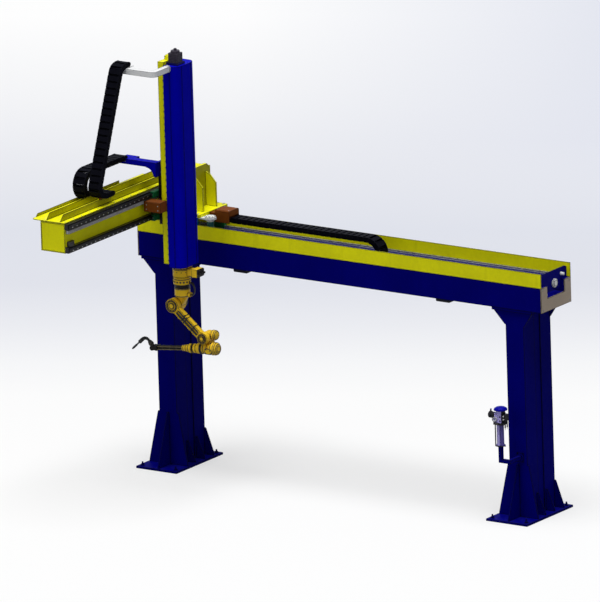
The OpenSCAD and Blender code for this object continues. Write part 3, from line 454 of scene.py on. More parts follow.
# ---------------------------------------------------------------- cross beam
# A long welded U-section box beam on top of the columns, in the same blue enamel.
# Beige primed caps close its ends; behind each a blue plate with a white inlet flange.
dress(portal_blue, "cross_beam")
beam_low, beam_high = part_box("cross_beam")
cap_low, cap_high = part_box("beam_end_plates")
beige, inlet_white = (0.52, 0.43, 0.335), (0.90, 0.91, 0.92)
flange_in, flange_out = 0.0598, 0.020  # the inlet flange, from the beam's end inwards
end_zones = []
for way, beam_end, cap_end in ((1, beam_high[0], cap_high[0]), (-1, -beam_low[0], -cap_low[0])):
    end_zones += [(beige, (way, 0, 0), beam_end - 0.0005, 9),
                  (inlet_white, (way, 0, 0), cap_end - flange_in, cap_end - flange_out)]
dress(enamel("beige primer and blue plate", (0.001, 0.001, 0.165), gloss=0.5, width=0.014,
             sheen_level=0.02, zones=end_zones), "beam_end_plates")
dress(enamel("seat pad paint", (0.004, 0.004, 0.012), gloss=0.6), "beam_feet")

ground_metal, metal_in, metal_out = new_group("ground metal", [
    ("Metal", (0.6, 0.6, 0.6, 1)), ("Edge line", 0.6), ("Edge width", 0.006), ("Oil", 0.3),
    ("Polish", 0.3)])
grinding = marks_in(ground_metal, (60, 4, 0.6, (0.05, 1, 1)), (0.3, 0.7), (0.86, 1.10))
oil_film = marks_in(ground_metal, (5, 5, 0.6), (0.45, 0.7), (0, 1))
oiled = mix_in(ground_metal, times_in(ground_metal, oil_film, metal_in["Oil"]),
               shade_in(ground_metal, metal_in["Metal"], grinding), (0.16, 0.13, 0.09))
edge_share = times_in(ground_metal, edges_in(ground_metal, metal_in["Edge width"]),
                      metal_in["Edge line"])
edged = mix_in(ground_metal, edge_share, oiled, (0.01, 0.01, 0.012))
uneven = marks_in(ground_metal, (90, 3, 0.6, (0.1, 1, 1)), (0.3, 0.7), (-0.08, 0.12))
ground_metal.links.new(edged, metal_out["Colour"])
ground_metal.links.new(maths_in(ground_metal, "ADD", metal_in["Polish"], uneven),
                       metal_out["Roughness"])
ground_metal.links.new(noise_in(ground_metal, 300, 2, 0.5, (0.06, 1, 1)), metal_out["Height"])


def bare_metal(name, metal, polish, oil, width=0.006):
    """Ground or turned metal with fine marks and a thin film of oil."""
    return finish_from(ground_metal, name, {"Metal": metal, "Edge line": 0.6, "Edge width": width,
                                            "Oil": oil, "Polish": polish}, 0.0003,
                       metallic=0.8, sheen_level=0.5)


def add_bolt(shape, place, direction, across, tall):
    """A hex head on its washer; across is the head's radius to its corners."""
    seat = facing(place, direction)
    add_turned(shape, [(across * 1.35, 0), (across * 1.35, tall * 0.25)], seat, 14)
    add_turned(shape, [(across, tall * 0.25), (across, tall * 0.9), (across * 0.86, tall)], seat, 6)


# The caps are held by zinc plated screws, and so are the flanges.
zinc = bare_metal("zinc plated steel", (0.55, 0.56, 0.58), polish=0.4, oil=0.1, width=0.003)
flange_y, flange_z, bolt_circle = 0.05, beam_high[2] - 0.018, 0.052
cap_screws = bmesh.new()
for face_x, way in ((cap_high[0], 1), (cap_low[0], -1)):
    for y in (-0.32, 0.32):
        for z in (beam_low[2] + 0.03, beam_high[2] - 0.03):
            add_turned(cap_screws, [(0.0085, -0.012), (0.0085, -0.002), (0.0075, -0.001)],
                       facing((face_x, y, z), (way, 0, 0)), 16)
    for c, s in spokes(4, 0.5):
        seat = (face_x - way * 0.044, flange_y + bolt_circle * c, flange_z + bolt_circle * s)
        add_bolt(cap_screws, seat, (way, 0, 0), 0.006, 0.006)
fitted("end_cap_screws", cap_screws, zinc, "root")

# A round fitting stands above each flange and a cable gland below it.
moulded_white = enamel("white moulded fittings", (0.80, 0.81, 0.82), gloss=0.35, edge=0.8,
                       width=0.004, dust=0.0, relief=0.0003, sheen_level=0.3)
inlets = bmesh.new()
for face_x, way in ((cap_high[0] - 0.060, 1), (cap_low[0] + 0.060, -1)):
    add_turned(inlets, [(0.024, 0), (0.024, 0.010), (0.017, 0.012), (0.017, 0.026), (0.021, 0.028),
                        (0.021, 0.046), (0.016, 0.050)],
               facing((face_x, 0.215, beam_high[2] + 0.075), (way, 0, 0)), 20)
    add_turned(inlets, [(0.020, 0), (0.020, 0.008), (0.014, 0.010), (0.014, 0.030), (0.010, 0.034)],
               facing((face_x, -0.175, beam_high[2] - 0.130), (way, 0, 0)), 20)
fitted("inlet_fittings", inlets, moulded_white, "root")

# ---------------------------------------------------------------- side guards
# Two thin steel plates stand along the beam's top edges. They are welded on and painted in
# the machine's yellow enamel.


def yellow_enamel(name, zones=()):
    """The machine's yellow, with zones of another colour: a blackened edge, or a darker yellow
    painted on as shade.
    """
    return enamel(name, (0.90, 0.875, 0.004), gloss=0.42, dust=0.03, zones=zones)


machine_yellow = yellow_enamel("machine yellow enamel")
dress(machine_yellow, "front_guard", "rear_guard")

# ---------------------------------------------------------------- rails and racks
# Ground profile rails, screwed down every 120 mm on the cross beam and every 105 mm on the
# Y beam, with a plug over each screw; milled racks beside them, lightly oiled.
dress(bare_metal("ground rail steel", (0.50, 0.51, 0.53), polish=0.28, oil=0.2, width=0.004),
      "x_rails", "z_rails")
dress(bare_metal("milled rack steel", (0.24, 0.24, 0.26), polish=0.4, oil=0.5, width=0.003),
      "x_rack", "y_rack")
dress(bare_metal("black chromed rail steel", (0.014, 0.014, 0.019), polish=0.32, oil=0.1),
      "y_rails")
screw_black = bare_metal("blackened screw steel", (0.03, 0.03, 0.035), polish=0.42, oil=0.2,
                         width=0.002)

x_rail_low, x_rail_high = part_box("x_rails")
y_rail_low, y_rail_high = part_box("y_rails")
x_rail_y, y_rail_inset = x_rail_high[1] - 0.015, 0.040
x_pitch, y_pitch = 0.120, 0.105
x_plugs = [(x_rail_low[0] + 0.060 + x_pitch * k, y, x_rail_high[2])
           for y in (-x_rail_y, x_rail_y) for k in range(52)]
y_plugs = [(y_rail_high[0], y_rail_low[1] + 0.055 + y_pitch * k, z)
           for z in (y_rail_low[2] + y_rail_inset, y_rail_high[2] - y_rail_inset)
           for k in range(25)]
for name, places, direction, finish, body in (
        ("x_rail_plugs", x_plugs, (0, 0, 1), screw_black, "root"),
        ("y_rail_plugs", y_plugs, (1, 0, 0), zinc, "x_carriage")):
    plugs = bmesh.new()
    for place in places:
        add_turned(plugs, [(0.0085, -0.002), (0.0085, 0.0008), (0.007, 0.0014)],
                   facing(place, direction), 12)
    fitted(name, plugs, finish, body)

# ---------------------------------------------------------------- drag chains
# Moulded black polyamide links, each side plate meeting the next at a round knuckle.
# The moulding has a fine grain, and rubbed edges turn grey.
polyamide, plastic_in, plastic_out = new_group("moulded polyamide", [
    ("Plastic", (0.01, 0.01, 0.015, 1)), ("Rubbed", 0.4), ("Edge width", 0.006), ("Gloss", 0.5)])
moulding = shade_in(polyamide, plastic_in["Plastic"],
                    marks_in(polyamide, (11, 4), (0.3, 0.7), (0.75, 1.3)))
rubbed_edge = times_in(polyamide, edges_in(polyamide, plastic_in["Edge width"]),
                       marks_in(polyamide, (30, 4, 0.7), (0.35, 0.6), (0.2, 1)))
greyed = mix_in(polyamide, times_in(polyamide, rubbed_edge, plastic_in["Rubbed"]), moulding,
                (0.055, 0.055, 0.075))
polyamide.links.new(greyed, plastic_out["Colour"])
polyamide.links.new(maths_in(polyamide, "ADD", plastic_in["Gloss"],
                             marks_in(polyamide, (70, 4), (0.3, 0.7), (-0.1, 0.1))),
                    plastic_out["Roughness"])
polyamide.links.new(noise_in(polyamide, 420, 2), plastic_out["Height"])


def moulded(name, plastic, rubbed, gloss, sheen_level):
    """A moulded plastic or rubber piece."""
    return finish_from(polyamide, name, {"Plastic": plastic, "Rubbed": rubbed, "Gloss": gloss,
                                         "Edge width": 0.006}, 0.0008, sheen_level=sheen_level)


dress(moulded("black polyamide", (0.0015, 0.0015, 0.004), rubbed=0.16, gloss=0.55,
              sheen_level=0.03), "x_drag_chain", "y_drag_chain", "z_drag_chain")

# ---------------------------------------------------------------- torch cleaning station
# Twin anodised cylinders on a bent tube, with a head of dark fittings under a blue dome.
# A white ring in front takes the nozzle, and two needles on the right spray it.
dress(portal_blue, "station_bracket")
station_low, station_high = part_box("station_cylinders")
station_x, station_y, station_top = (station_low[0] + station_high[0]) / 2, -0.590, station_high[2]
nozzle_x, nozzle_z, nozzle_radius = station_x - 0.038, station_top + 0.084, 0.034
lavender, violet, near_black = (0.56, 0.50, 0.98), (0.10, 0.085, 0.32), (0.02, 0.02, 0.025)
ring_white, dome_blue = (0.80, 0.81, 0.84), (0.001, 0.001, 0.30)


def add_box(shape, low, high, place=Matrix()):
    """Adds a box from its lowest to its highest corner."""
    corner = [shape.verts.new(place @ Vector((x, y, z))) for x in (low[0], high[0])
              for y in (low[1], high[1]) for z in (low[2], high[2])]
    for face in ((0, 1, 3, 2), (4, 6, 7, 5), (0, 4, 5, 1), (2, 3, 7, 6), (0, 2, 6, 4),
                 (1, 5, 7, 3)):
        shape.faces.new([corner[k] for k in face])


def anodised(name, colour, zones, **more):
    """Thin coloured anodising on turned aluminium, its parts told apart by colour."""
    return enamel(name, colour, edge=0.8, width=0.004, dust=0.0, relief=0.0002, zones=zones, **more)


dress(anodised("lavender and violet anodising", lavender, gloss=0.32, zones=[
    (violet, (1, 0, 0), station_x, 9),
    (near_black, (0, 0, -1), -station_low[2] - 0.0135, 0),
    (near_black, (0, -1, 0), 0.0345 - station_y, 0.060 - station_y)]), "station_cylinders")
dress(anodised("station head finishes", near_black, gloss=0.35, sheen_level=0.06, zones=[
    (lavender, (1, 0, 0), station_x - 0.0605, station_x + 0.050),
    (near_black, (0, 0, -1), -station_top - 0.033, 0),
    (ring_white, (0, -1, 0), 0.061 - station_y, 1),
    (dome_blue, (0, 0, 1), station_top + 0.190, 3)]), "station_head")
fittings = bmesh.new()
for x, y, z in ((-0.040, -0.046, 0.060), (0.030, -0.051, 0.060), (0.030, -0.051, 0.115),
                (-0.020, -0.051, 0.150)):
    add_bolt(fittings, (station_x + x, station_y + y, station_top + z), (0, -1, 0), 0.009, 0.007)
nozzle_ring = [(nozzle_x + nozzle_radius * c, station_y - 0.0835, nozzle_z + nozzle_radius * s)
               for c, s in spokes(24)]
add_rope(fittings, nozzle_ring + nozzle_ring[:1], 0.004, 8)
add_box(fittings, (station_x - 0.050, station_y - 0.066, station_top + 0.002),
        (station_x + 0.012, station_y - 0.050, station_top + 0.036))
fitted("station_screws", fittings, screw_black, "root")
fittings = bmesh.new()
for y in (-0.024, 0.024):
    add_turned(fittings, [(0.006, 0), (0.0035, 0.006), (0.0035, 0.030)],
               facing((station_x + 0.096, station_y + y, station_top - 0.034), (0, 0, -1)), 12)
for z in (0.085, 0.128):
    add_turned(fittings, [(0.010, 0), (0.010, 0.008), (0.006, 0.010), (0.006, 0.018)],
               facing((station_x + 0.084, station_y - 0.040, station_top + z), (0, -1, 0)), 16)
fitted("station_fittings", fittings, moulded_white, "root")

# ---------------------------------------------------------------- carriage and its drive
# A yellow plate on teal risers with green runner blocks; a white gear housing on its right
# drives the pinion on the rack; a brown folded cover reaches over the drag chain's end.
dress(machine_yellow, "carriage_plate")
arm_low, arm_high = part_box("y_beam")
# Painted shade: a darker yellow on the upright's face that looks to the right (+X) and on the
# tray's ribs stands in for the shade on those faces.
painted_shade_yellow = (0.42, 0.40, 0.002)
upright_face = arm_high[0] + 0.045
dress(yellow_enamel("upright enamel with painted shade", [
    (painted_shade_yellow, (1, 0, 0), upright_face - 0.0015, upright_face + 0.0015)]), "beam_bracket")
riser_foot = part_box("carriage_risers")[0][2]
dress(enamel("riser teal enamel", (0.006, 0.20, 0.23), gloss=0.4, width=0.008, zones=[
    ((0.012, 0.20, 0.06), (0, 0, 1), 0, riser_foot + 0.085)]), "carriage_risers")
drive_low, drive_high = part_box("x_drive")
dress(enamel("drive white enamel", (0.84, 0.86, 0.88), gloss=0.36, width=0.006, sheen_level=0.25,
             zones=[((0.008, 0.10, 0.12), (0, 0, 1), 0, drive_high[2] - 0.075)]), "x_drive")
dress(enamel("bracket brown enamel", (0.19, 0.052, 0.008), gloss=0.5, width=0.013,
             sheen_level=0.04), "x_chain_bracket", "chain_anchors", "y_chain_bracket")


def add_bolts(shape, places, direction, across, tall):
    """Like bolts at several places, all facing one way."""
    for place in places:
        add_bolt(shape, place, direction, across, tall)


plate_low, plate_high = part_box("carriage_plate")
cover_low, cover_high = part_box("x_chain_bracket")
upright_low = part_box("beam_bracket")[0]
deck = upright_low[2]  # the upright stands on the plate's upper face
carriage_bolts = bmesh.new()
add_bolts(carriage_bolts, [(x, y, deck) for x in (plate_low[0] + 0.055, plate_low[0] + 0.155,
                                                  plate_high[0] - 0.155, plate_high[0] - 0.055)
                           for y in (-0.332, -0.292, 0.292, 0.332)], (0, 0, 1), 0.009, 0.010)
add_bolts(carriage_bolts, [(x, y, cover_high[2])
                           for x in (cover_low[0] + 0.115, cover_high[0] - 0.030)
                           for y in (-0.085, 0.085)], (0, 0, 1), 0.006, 0.006)
add_bolts(carriage_bolts, [(upright_low[0] + 0.045, y, deck + z) for z in (0.18, 0.30, 0.42)
                           for y in (-0.195, 0.225)], (1, 0, 0), 0.011, 0.011)
add_bolts(carriage_bolts, [(arm_low[0] - x, y, deck) for x in (0.030, 0.110)
                           for y in (-0.20, 0.0, 0.20)], (0, 0, 1), 0.009, 0.010)
fitted("carriage_bolts", carriage_bolts, zinc, "x_carriage")
lid_radius, lid_screw_circle = 0.085, 0.062
drive_x, drive_y = drive_high[0] - lid_radius, drive_low[1] + lid_radius
drive_screws = bmesh.new()
for c, s in spokes(8, 0.5):
    seat = facing((drive_x + lid_screw_circle * c, drive_y + lid_screw_circle * s,
                   drive_high[2] - 0.004), (0, 0, 1))
    add_turned(drive_screws, [(0.0055, 0), (0.0055, 0.005), (0.0045, 0.006)], seat, 12)
fitted("drive_lid_screws", drive_screws, screw_black, "x_carriage")

# ---------------------------------------------------------------- Y beam and its tray
# A closed rectangular beam across the carriage; the tray on top is folded sheet with two
# upright ribs, screwed down; a blackened steel stop at the front limits the saddle.
dress(machine_yellow, "y_beam")
dress(bare_metal("black oxide steel", (0.035, 0.035, 0.04), polish=0.4, oil=0.2, width=0.004),
      "y_end_stop")
tray_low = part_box("chain_tray")[0]
# The ribs take the darker yellow all over as painted shade.
tray_ribs = [(tray_low[0], 0.005), (arm_low[0] + 0.074, 0.006), (arm_high[0] - 0.096, 0.006)]
dress(yellow_enamel("tray enamel with painted shade", [(painted_shade_yellow, (1, 0, 0), x - 0.001, x + thick + 0.001)
                                    for x, thick in tray_ribs]), "chain_tray")
tray_screws = bmesh.new()
add_bolts(tray_screws, [(x, tray_low[1] + 0.06 + 0.195 * k, arm_high[2] + 0.008)
                        for x in (arm_low[0] + 0.030, arm_high[0] - 0.030) for k in range(14)],
          (0, 0, 1), 0.006, 0.006)
fitted("tray_screws", tray_screws, zinc, "x_carriage")
anchor_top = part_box("chain_anchors")[1][2]
anchor_screws = bmesh.new()
anchor_places = ((-0.072, -1.710), (0.148, -1.845))
add_bolts(anchor_screws, [(x + way * 0.035, y, anchor_top) for x, y in anchor_places
                          for way in (-1, 1)], (0, 0, 1), 0.006, 0.006)
fitted("anchor_screws", anchor_screws, zinc, "x_carriage")

# ---------------------------------------------------------------- saddle and runner blocks
# The saddle plate carries green runner blocks on both faces, four for Y and four for Z, and
# a brown bracket at its front; it is yellow like the beam, with a blackened front edge.
dress(enamel("runner block green", (0.008, 0.13, 0.045), gloss=0.36, width=0.007),
      "y_bearings", "z_bearings")
saddle_low, saddle_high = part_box("saddle_plate")
dress(yellow_enamel("saddle enamel with blackened edge", [
    ((0.004, 0.004, 0.006), (0, -1, 0), -saddle_low[1] - 0.003, 9)]), "saddle_plate")
saddle_bolts = bmesh.new()
add_bolts(saddle_bolts, [(saddle_high[0], y, z)
                         for y in (saddle_low[1] + 0.045, saddle_high[1] - 0.045)
                         for z in (saddle_low[2] + 0.06, saddle_low[2] + 0.13,
                                   saddle_high[2] - 0.22, saddle_high[2] - 0.06)],
          (1, 0, 0), 0.009, 0.010)
bracket_low, bracket_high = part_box("y_chain_bracket")
add_bolts(saddle_bolts, [(x, bracket_low[1], z)
                         for x in (bracket_low[0] + 0.04, bracket_high[0] - 0.04)
                         for z in (bracket_low[2] + 0.035, bracket_high[2] - 0.045)],
          (0, -1, 0), 0.006, 0.006)
fitted("saddle_bolts", saddle_bolts, zinc, "saddle")

# ---------------------------------------------------------------- vertical ram
# A folded blue cover round the ram's tube, closed by a yellow rail plate with a row of
# screws along each edge; the blue and the white arm hold the drag chains' ends.
dress(enamel("ram blue enamel", (0.0008, 0.0008, 0.46), gloss=0.36, dust=0.02, width=0.018,
             sheen_level=0.01), "ram_cover", "chain_arm")
dress(machine_yellow, "ram_plate")
ram_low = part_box("ram_cover")[0]
rail_plate_low, rail_plate_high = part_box("ram_plate")
ram_screws = bmesh.new()
for k in range(31):
    z = ram_low[2] + 0.09 + 0.086 * k
    for y, way in ((rail_plate_low[1], -1), (rail_plate_high[1], 1)):
        add_turned(ram_screws, [(0.0085, 0), (0.0085, 0.005), (0.006, 0.008)],
                   facing((ram_low[0] - 0.014, y, z), (0, way, 0)), 10)
fitted("ram_edge_screws", ram_screws, screw_black, "ram")
dress(enamel("arm white enamel", (0.84, 0.845, 0.85), gloss=0.4, width=0.010, sheen_level=0.2),
      "ram_chain_arm")

# ---------------------------------------------------------------- ram motor
# A servo motor with chamfered corners on a blue flange box, held by four long screws.
# Its plugs are on the left, its brake housing on top.
motor_low, motor_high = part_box("z_motor")
motor_x, motor_y = motor_high[0] - 0.090, (motor_low[1] + motor_high[1]) / 2
motor_grey = enamel("motor grey enamel", (0.050, 0.042, 0.060), gloss=0.42, width=0.010,
                    zones=[((0.003, 0.003, 0.10), (0, 0, 1), 0, motor_low[2] + 0.0305)])
dress(motor_grey, "z_motor")
motor_trim = bmesh.new()
add_bolts(motor_trim, [(motor_x + sx * 0.080, motor_y + sy * 0.080, motor_low[2] + 0.030)
                       for sx in (-1, 1) for sy in (-1, 1)], (0, 0, 1), 0.006, 0.008)
for k in range(5):
    z = motor_low[2] + 0.052 + 0.021 * k
    for half_x, half_y, inset in ((0.0765, 0.054, 0), (0.054, 0.0765, 0.0004)):
        add_box(motor_trim, (motor_x - half_x, motor_y - half_y, z + inset),
                (motor_x + half_x, motor_y + half_y, z + 0.007 - inset))
add_turned(motor_trim, [(0.013, 0), (0.013, 0.020), (0.010, 0.024)],
           facing((motor_low[0] + 0.010, motor_y, motor_low[2] + 0.112), (0, 0, 1)), 14)
fitted("motor_fins", motor_trim, motor_grey, "ram", 0.0008)

# ---------------------------------------------------------------- robot base and turret
# A small cast six-axis arm hung upside down under the ram, in golden casting enamel.
# Its connector box faces the right; plugs, seals and screws are black.
seal_black, seal_brown = (0.010, 0.009, 0.008), (0.045, 0.022, 0.008)
base_low, base_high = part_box("robot_base")
robot_x, robot_y = base_low[0] + 0.150, (base_low[1] + base_high[1]) / 2
connector_face = base_high[0] - 0.0365


def casting_gold(name, zones=(), width=0.014, dust=0.0, relief=0.0014):
    """Golden enamel over a rough casting, its joints' seals in black."""
    return enamel(name, (0.93, 0.60, 0.025), gloss=0.38, edge=0.97, width=width, dust=dust,
                  relief=relief, zones=zones)


dress(casting_gold("golden casting enamel", dust=0.03, zones=[
    (seal_black, (1, 0, 0), connector_face, 2),
    (seal_brown, (1, 0, 0), connector_face - 0.002, connector_face)]), "robot_base")
dress(casting_gold("turret golden enamel", zones=[
    (seal_black, (0, 0, 1), base_low[2] - 0.158, base_low[2] - 0.104),
    (seal_black, (0, 1, 0), robot_y + 0.116, 9)]), "robot_turret")


def add_rings(shape, place, rings, thick):
    """Round seals about a local Z axis; each ring is its place along the axis and its radius."""
    for along, radius in rings:
        circle = [place @ Vector((radius * c, radius * s, along)) for c, s in spokes(36)]
        add_rope(shape, circle + circle[:1], thick, 8)


base_screws = bmesh.new()
add_rings(base_screws, Matrix.Translation((robot_x, robot_y, base_high[2])),
          [(-depth, 0.1235) for depth in (0.0225, 0.043, 0.059)], 0.005)
for y in (-0.055, -0.005, 0.046, 0.092):
    add_box(base_screws, (connector_face - 0.0015, robot_y + y, base_high[2] - 0.140),
            (connector_face + 0.0065, robot_y + y + 0.012, base_high[2] - 0.045))
for c, s in spokes(10, 0.3):
    add_bolt(base_screws, (robot_x + 0.139 * c, robot_y + 0.139 * s, base_high[2] - 0.0212),
             (0, 0, -1), 0.008, 0.010)
for c, s in spokes(12):
    add_bolt(base_screws, (robot_x + 0.1205 * c, robot_y + 0.1205 * s, base_high[2] - 0.090),
             (c, s, 0), 0.005, 0.006)
fitted("base_screws", base_screws, screw_black, "ram")

# The turret hangs under the base; its shoulder, the second axis, is a little to its left.
joint_at = {joint["name"]: Vector(joint["pos_m"]) for joint in frame["joints"] if "pos_m" in joint}
shoulder_x, _, shoulder_z = joint_at["shoulder"]
shoulder_y = robot_y - 0.025
bolt_ring_z, gland_z, clamp_z = 2.832, 2.812, 2.652
turret_trim = bmesh.new()
for c, s in spokes(16):
    add_bolt(turret_trim, (robot_x + 0.1172 * c, robot_y + 0.1172 * s, bolt_ring_z), (c, s, 0),
             0.010, 0.008)
add_rings(turret_trim, Matrix.Translation((robot_x, robot_y, bolt_ring_z)),
          [(0.034, 0.115), (-0.0395, 0.108), (-0.102, 0.1055), (-0.200, 0.1035)], 0.005)
add_rings(turret_trim, facing((shoulder_x, shoulder_y, shoulder_z), (0, 1, 0)),
          [(0.116, 0.072), (0.130, 0.066), (0.150, 0.060), (0.175, 0.060), (0.200, 0.060)], 0.005)
fitted("turret_trim", turret_trim, screw_black, "turret")


def hose_run(corners):
    """Points on a smooth curve through the corners, nine to each leg."""
    steps = 9
    knots = [Vector(c) for c in corners]
    knots = [2 * knots[0] - knots[1]] + knots + [2 * knots[-1] - knots[-2]]
    points = []
    for before, start, end, after in zip(knots, knots[1:], knots[2:], knots[3:]):
        for k in range(steps):
            t = k / steps
            points.append(0.5 * (2 * start + (end - before) * t
                                 + (2 * before - 5 * start + 4 * end - after) * t * t
                                 + (3 * start - before - 3 * end + after) * t ** 3))
    return points + [knots[-2]]


# Two stiff hoses bend from the clamp on the drum up to glands in the bolted ring.
rubber_black = moulded("black rubber sheath", (0.008, 0.008, 0.009), rubbed=0.0, gloss=0.45,
                       sheen_level=0.25)
for number, (y, out) in enumerate(((robot_y - 0.015, 0.0), (robot_y + 0.015, -0.014))):
    gland = math.radians(-4 + 17 * number)
    end = Vector((robot_x + 0.1155 * math.cos(gland), robot_y + 0.1155 * math.sin(gland), gland_z))
    run = hose_run([(robot_x + 0.1465, y, clamp_z), (robot_x + 0.166, y, clamp_z),
                    (robot_x + 0.196 + out, y + 0.004, clamp_z + 0.022),
                    (robot_x + 0.204 + out, y + 0.006, clamp_z + 0.072),
                    (robot_x + 0.194 + out, (y + end.y) / 2, clamp_z + 0.124),
                    (robot_x + 0.158, end.y, clamp_z + 0.157), tuple(end)])
    hose = bmesh.new()
    add_rope(hose, run, 0.0085, 12)
    piece = fitted("turret_hose_%d" % (number + 1), hose, rubber_black, "turret")

# ---------------------------------------------------------------- upper arm
# Cast link with two ribs along a pocket; dished covers with black seals close its hubs.
# Two cables lie strapped in the pocket, and two run through the clamps on the lower side.
dress(casting_gold("robot golden enamel"), "robot_upper_arm")
upper_arm_len, upper_arm_tilt = 0.618, math.radians(40)
quarter_turn = math.radians(90)
upper_frame = (Matrix.Translation((shoulder_x, shoulder_y, shoulder_z))
               @ Matrix.Rotation(upper_arm_tilt, 4, "Y") @ Matrix.Rotation(quarter_turn, 4, "X"))
cover_face = 0.089  # from the arm's middle plane to its hub covers
arm_trim = bmesh.new()
for hub, screw_circle, seals in ((0, 0.073, (0.0800, 0.0650, 0.038)),
                                 (upper_arm_len, 0.057, (0.0640, 0.0495, 0.030))):
    hub_place = upper_frame @ Matrix.Translation((hub, 0, 0))
    for c, s in spokes(8, 0.5):
        seat = hub_place @ Matrix.Translation((screw_circle * c, screw_circle * s, cover_face))
        add_turned(arm_trim, [(0.0055, 0), (0.0055, 0.004), (0.0045, 0.005)], seat, 10)
    add_rings(arm_trim, hub_place, [(cover_face + 0.0005, radius) for radius in seals], 0.005)
for side in (-1, 1):  # the pocket's cables
    add_rope(arm_trim, [upper_frame @ Vector((0.108 + 0.0141 * k, side * 0.021, 0.0755))
                        for k in range(31)], 0.0100, 10)
for reach in (0.225, 0.268, 0.420):  # the straps over them
    add_box(arm_trim, (reach, -0.0560, -0.0005), (reach + 0.013, 0.0560, 0.0875), upper_frame)
for depth in (0.029, 0.050):  # the cables in the clamps
    add_rope(arm_trim, [upper_frame @ Vector((0.070 + 0.0158 * k, -0.0625, depth))
                        for k in range(33)], 0.0090, 10)
fitted("upper_arm_trim", arm_trim, rubber_black, "upper_arm")

# ---------------------------------------------------------------- elbow
# A cast drive housing across the upper arm's end, with a stepped gear case on its right and,
# below it, the forearm's roll drive in line with the forearm. Black seals lie in the joints.
elbow_x, _, elbow_z = joint_at["elbow_bend"]
forearm_x, _, forearm_z = joint_at["forearm_roll"]
forearm_tilt, torch_tilt = math.radians(174), math.radians(-131)
forearm_axis = Vector((math.cos(forearm_tilt), 0, -math.sin(forearm_tilt)))
forearm_zero = joint_at["forearm_roll"].dot(forearm_axis)
forearm_frame = (Matrix.Translation((forearm_x, robot_y, forearm_z))
                 @ Matrix.Rotation(forearm_tilt + quarter_turn, 4, "Y"))
dress(casting_gold("elbow golden enamel", zones=[
    (seal_black, forearm_axis, forearm_zero + 0.070, forearm_zero + 0.098)]), "robot_elbow")
gear_y, gear_z = robot_y + 0.048, elbow_z + 0.030
elbow_trim = bmesh.new()
for c, s in spokes(8):
    add_bolt(elbow_trim, (elbow_x + 0.122, gear_y + 0.0665 * c, gear_z + 0.0665 * s), (0, c, s),
             0.005, 0.005)
add_rings(elbow_trim, forearm_frame, [
    (-0.180, 0.0400), (-0.174, 0.0620), (-0.155, 0.0815), (-0.132, 0.0870), (-0.092, 0.0870),
    (-0.079, 0.0700), (-0.020, 0.0690), (0.040, 0.0690), (0.072, 0.0735), (0.096, 0.0735)], 0.0045)
add_rings(elbow_trim, facing((elbow_x, gear_y, gear_z), (1, 0, 0)),
          [(0.084, 0.0665), (0.120, 0.0665), (0.138, 0.0570)], 0.0045)
lid = [(0.016, -0.054), (0.104, -0.054), (0.116, -0.034), (0.116, 0.018), (0.016, 0.018),
       (0.004, -0.004)]
lid_y = robot_y - 0.084
for (x, z), (next_x, next_z) in zip(lid, lid[1:] + lid[:1]):
    add_rope(elbow_trim, [(forearm_x + x, lid_y, forearm_z + z),
                          (forearm_x + next_x, lid_y, forearm_z + next_z)], 0.004, 8)
add_bolts(elbow_trim, [(forearm_x + x, lid_y, forearm_z + z) for x, z in
                       ((0.022, -0.044), (0.100, -0.044), (0.106, 0.008), (0.026, 0.008))],
          (0, -1, 0), 0.007, 0.006)
fitted("elbow_trim", elbow_trim, screw_black, "elbow")

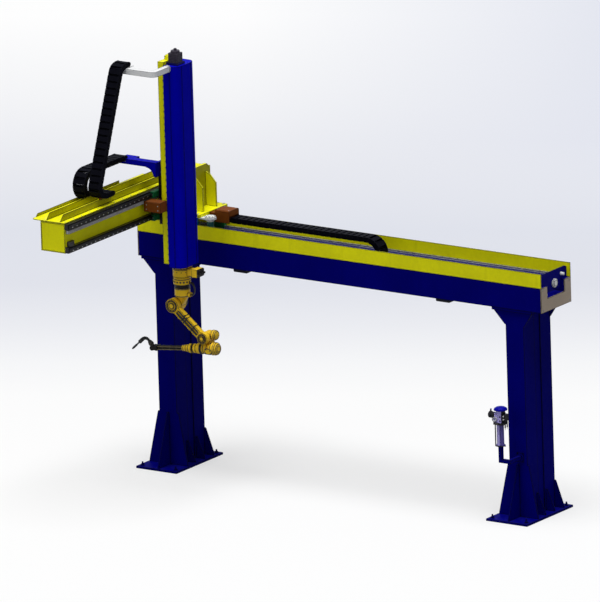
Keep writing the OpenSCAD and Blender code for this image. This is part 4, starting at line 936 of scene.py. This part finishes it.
# ---------------------------------------------------------------- forearm, wrist and torch
# Golden cast cone, then a slim dark tube with clamp bands and two air lines; dark wrist and
# fork, and a bent-neck welding torch with a ribbed rubber sleeve.
tube_start, tube_end = 0.402, 0.800
bands = [(seal_black, forearm_axis, forearm_zero + 0.208, forearm_zero + 0.234),
         (seal_black, forearm_axis, forearm_zero + tube_start, forearm_zero + 2)]
for share in (0.22, 0.5, 0.78):
    centre = forearm_zero + tube_start + share * (tube_end - tube_start)
    bands.append(((0.05, 0.045, 0.04), forearm_axis, centre - 0.0095, centre + 0.0095))
dress(casting_gold("forearm golden enamel", zones=bands, width=0.011, relief=0.0008),
      "robot_forearm")
air_lines = bmesh.new()
for turn in (math.radians(-118), math.radians(-62)):
    line_x, line_y = 0.0395 * math.cos(turn), 0.0395 * math.sin(turn)
    add_rope(air_lines, [forearm_frame @ Vector((line_x, line_y, 0.398 + 0.0135 * k))
                         for k in range(31)], 0.0045, 8)
line_tan = moulded("tan nylon tube", (0.20, 0.155, 0.08), rubbed=0.0, gloss=0.4, sheen_level=0.1)
fitted("forearm_air_lines", air_lines, line_tan, "forearm")
forearm_seals = bmesh.new()
add_rings(forearm_seals, forearm_frame, [
    (0.167, 0.0640), (0.242, 0.0625), (0.288, 0.0620), (0.334, 0.0505), (0.380, 0.0400)], 0.004)
fitted("forearm_seals", forearm_seals, rubber_black, "forearm")
dress(bare_metal("dark wrist castings", (0.022, 0.020, 0.018), polish=0.45, oil=0.1, width=0.003),
      "robot_wrist")
dress(bare_metal("torch body metal", (0.02, 0.02, 0.022), polish=0.4, oil=0.0, width=0.002),
      "welding_torch")

# The neck bends on a round path; the sleeve's ribs and the collar sit square to that path.
wrist_x, _, wrist_z = joint_at["wrist_bend"]
neck_start, neck_radius = 0.1153, 0.070
neck_place = (Matrix.Translation((wrist_x, robot_y, wrist_z))
              @ Matrix.Rotation(torch_tilt + quarter_turn, 4, "Y")
              @ Matrix.Translation((-neck_radius, 0, neck_start))
              @ Matrix.Rotation(quarter_turn, 4, "X"))


def on_neck(turn):
    """A matrix on the neck's path, so many degrees round its bend, with Z along the path."""
    return (neck_place @ Matrix.Rotation(math.radians(turn), 4, "Z")
            @ Matrix.Translation((neck_radius, 0, 0)) @ Matrix.Rotation(-quarter_turn, 4, "X"))


sleeve = bmesh.new()
for turn, radius in ((12, 0.020), (30, 0.022), (48, 0.022), (66, 0.024), (84, 0.024)):
    add_turned(sleeve, [(0.016, -0.009), (radius, -0.006), (radius, 0.006), (0.016, 0.009)],
               on_neck(turn), 18)
add_turned(sleeve, [(0.016, 0.002), (0.027, 0.006), (0.027, 0.034), (0.023, 0.038), (0.023, 0.046),
                    (0.027, 0.050), (0.027, 0.070), (0.012, 0.080)], on_neck(91), 20)
fitted("torch_sleeve", sleeve, rubber_black, "torch")
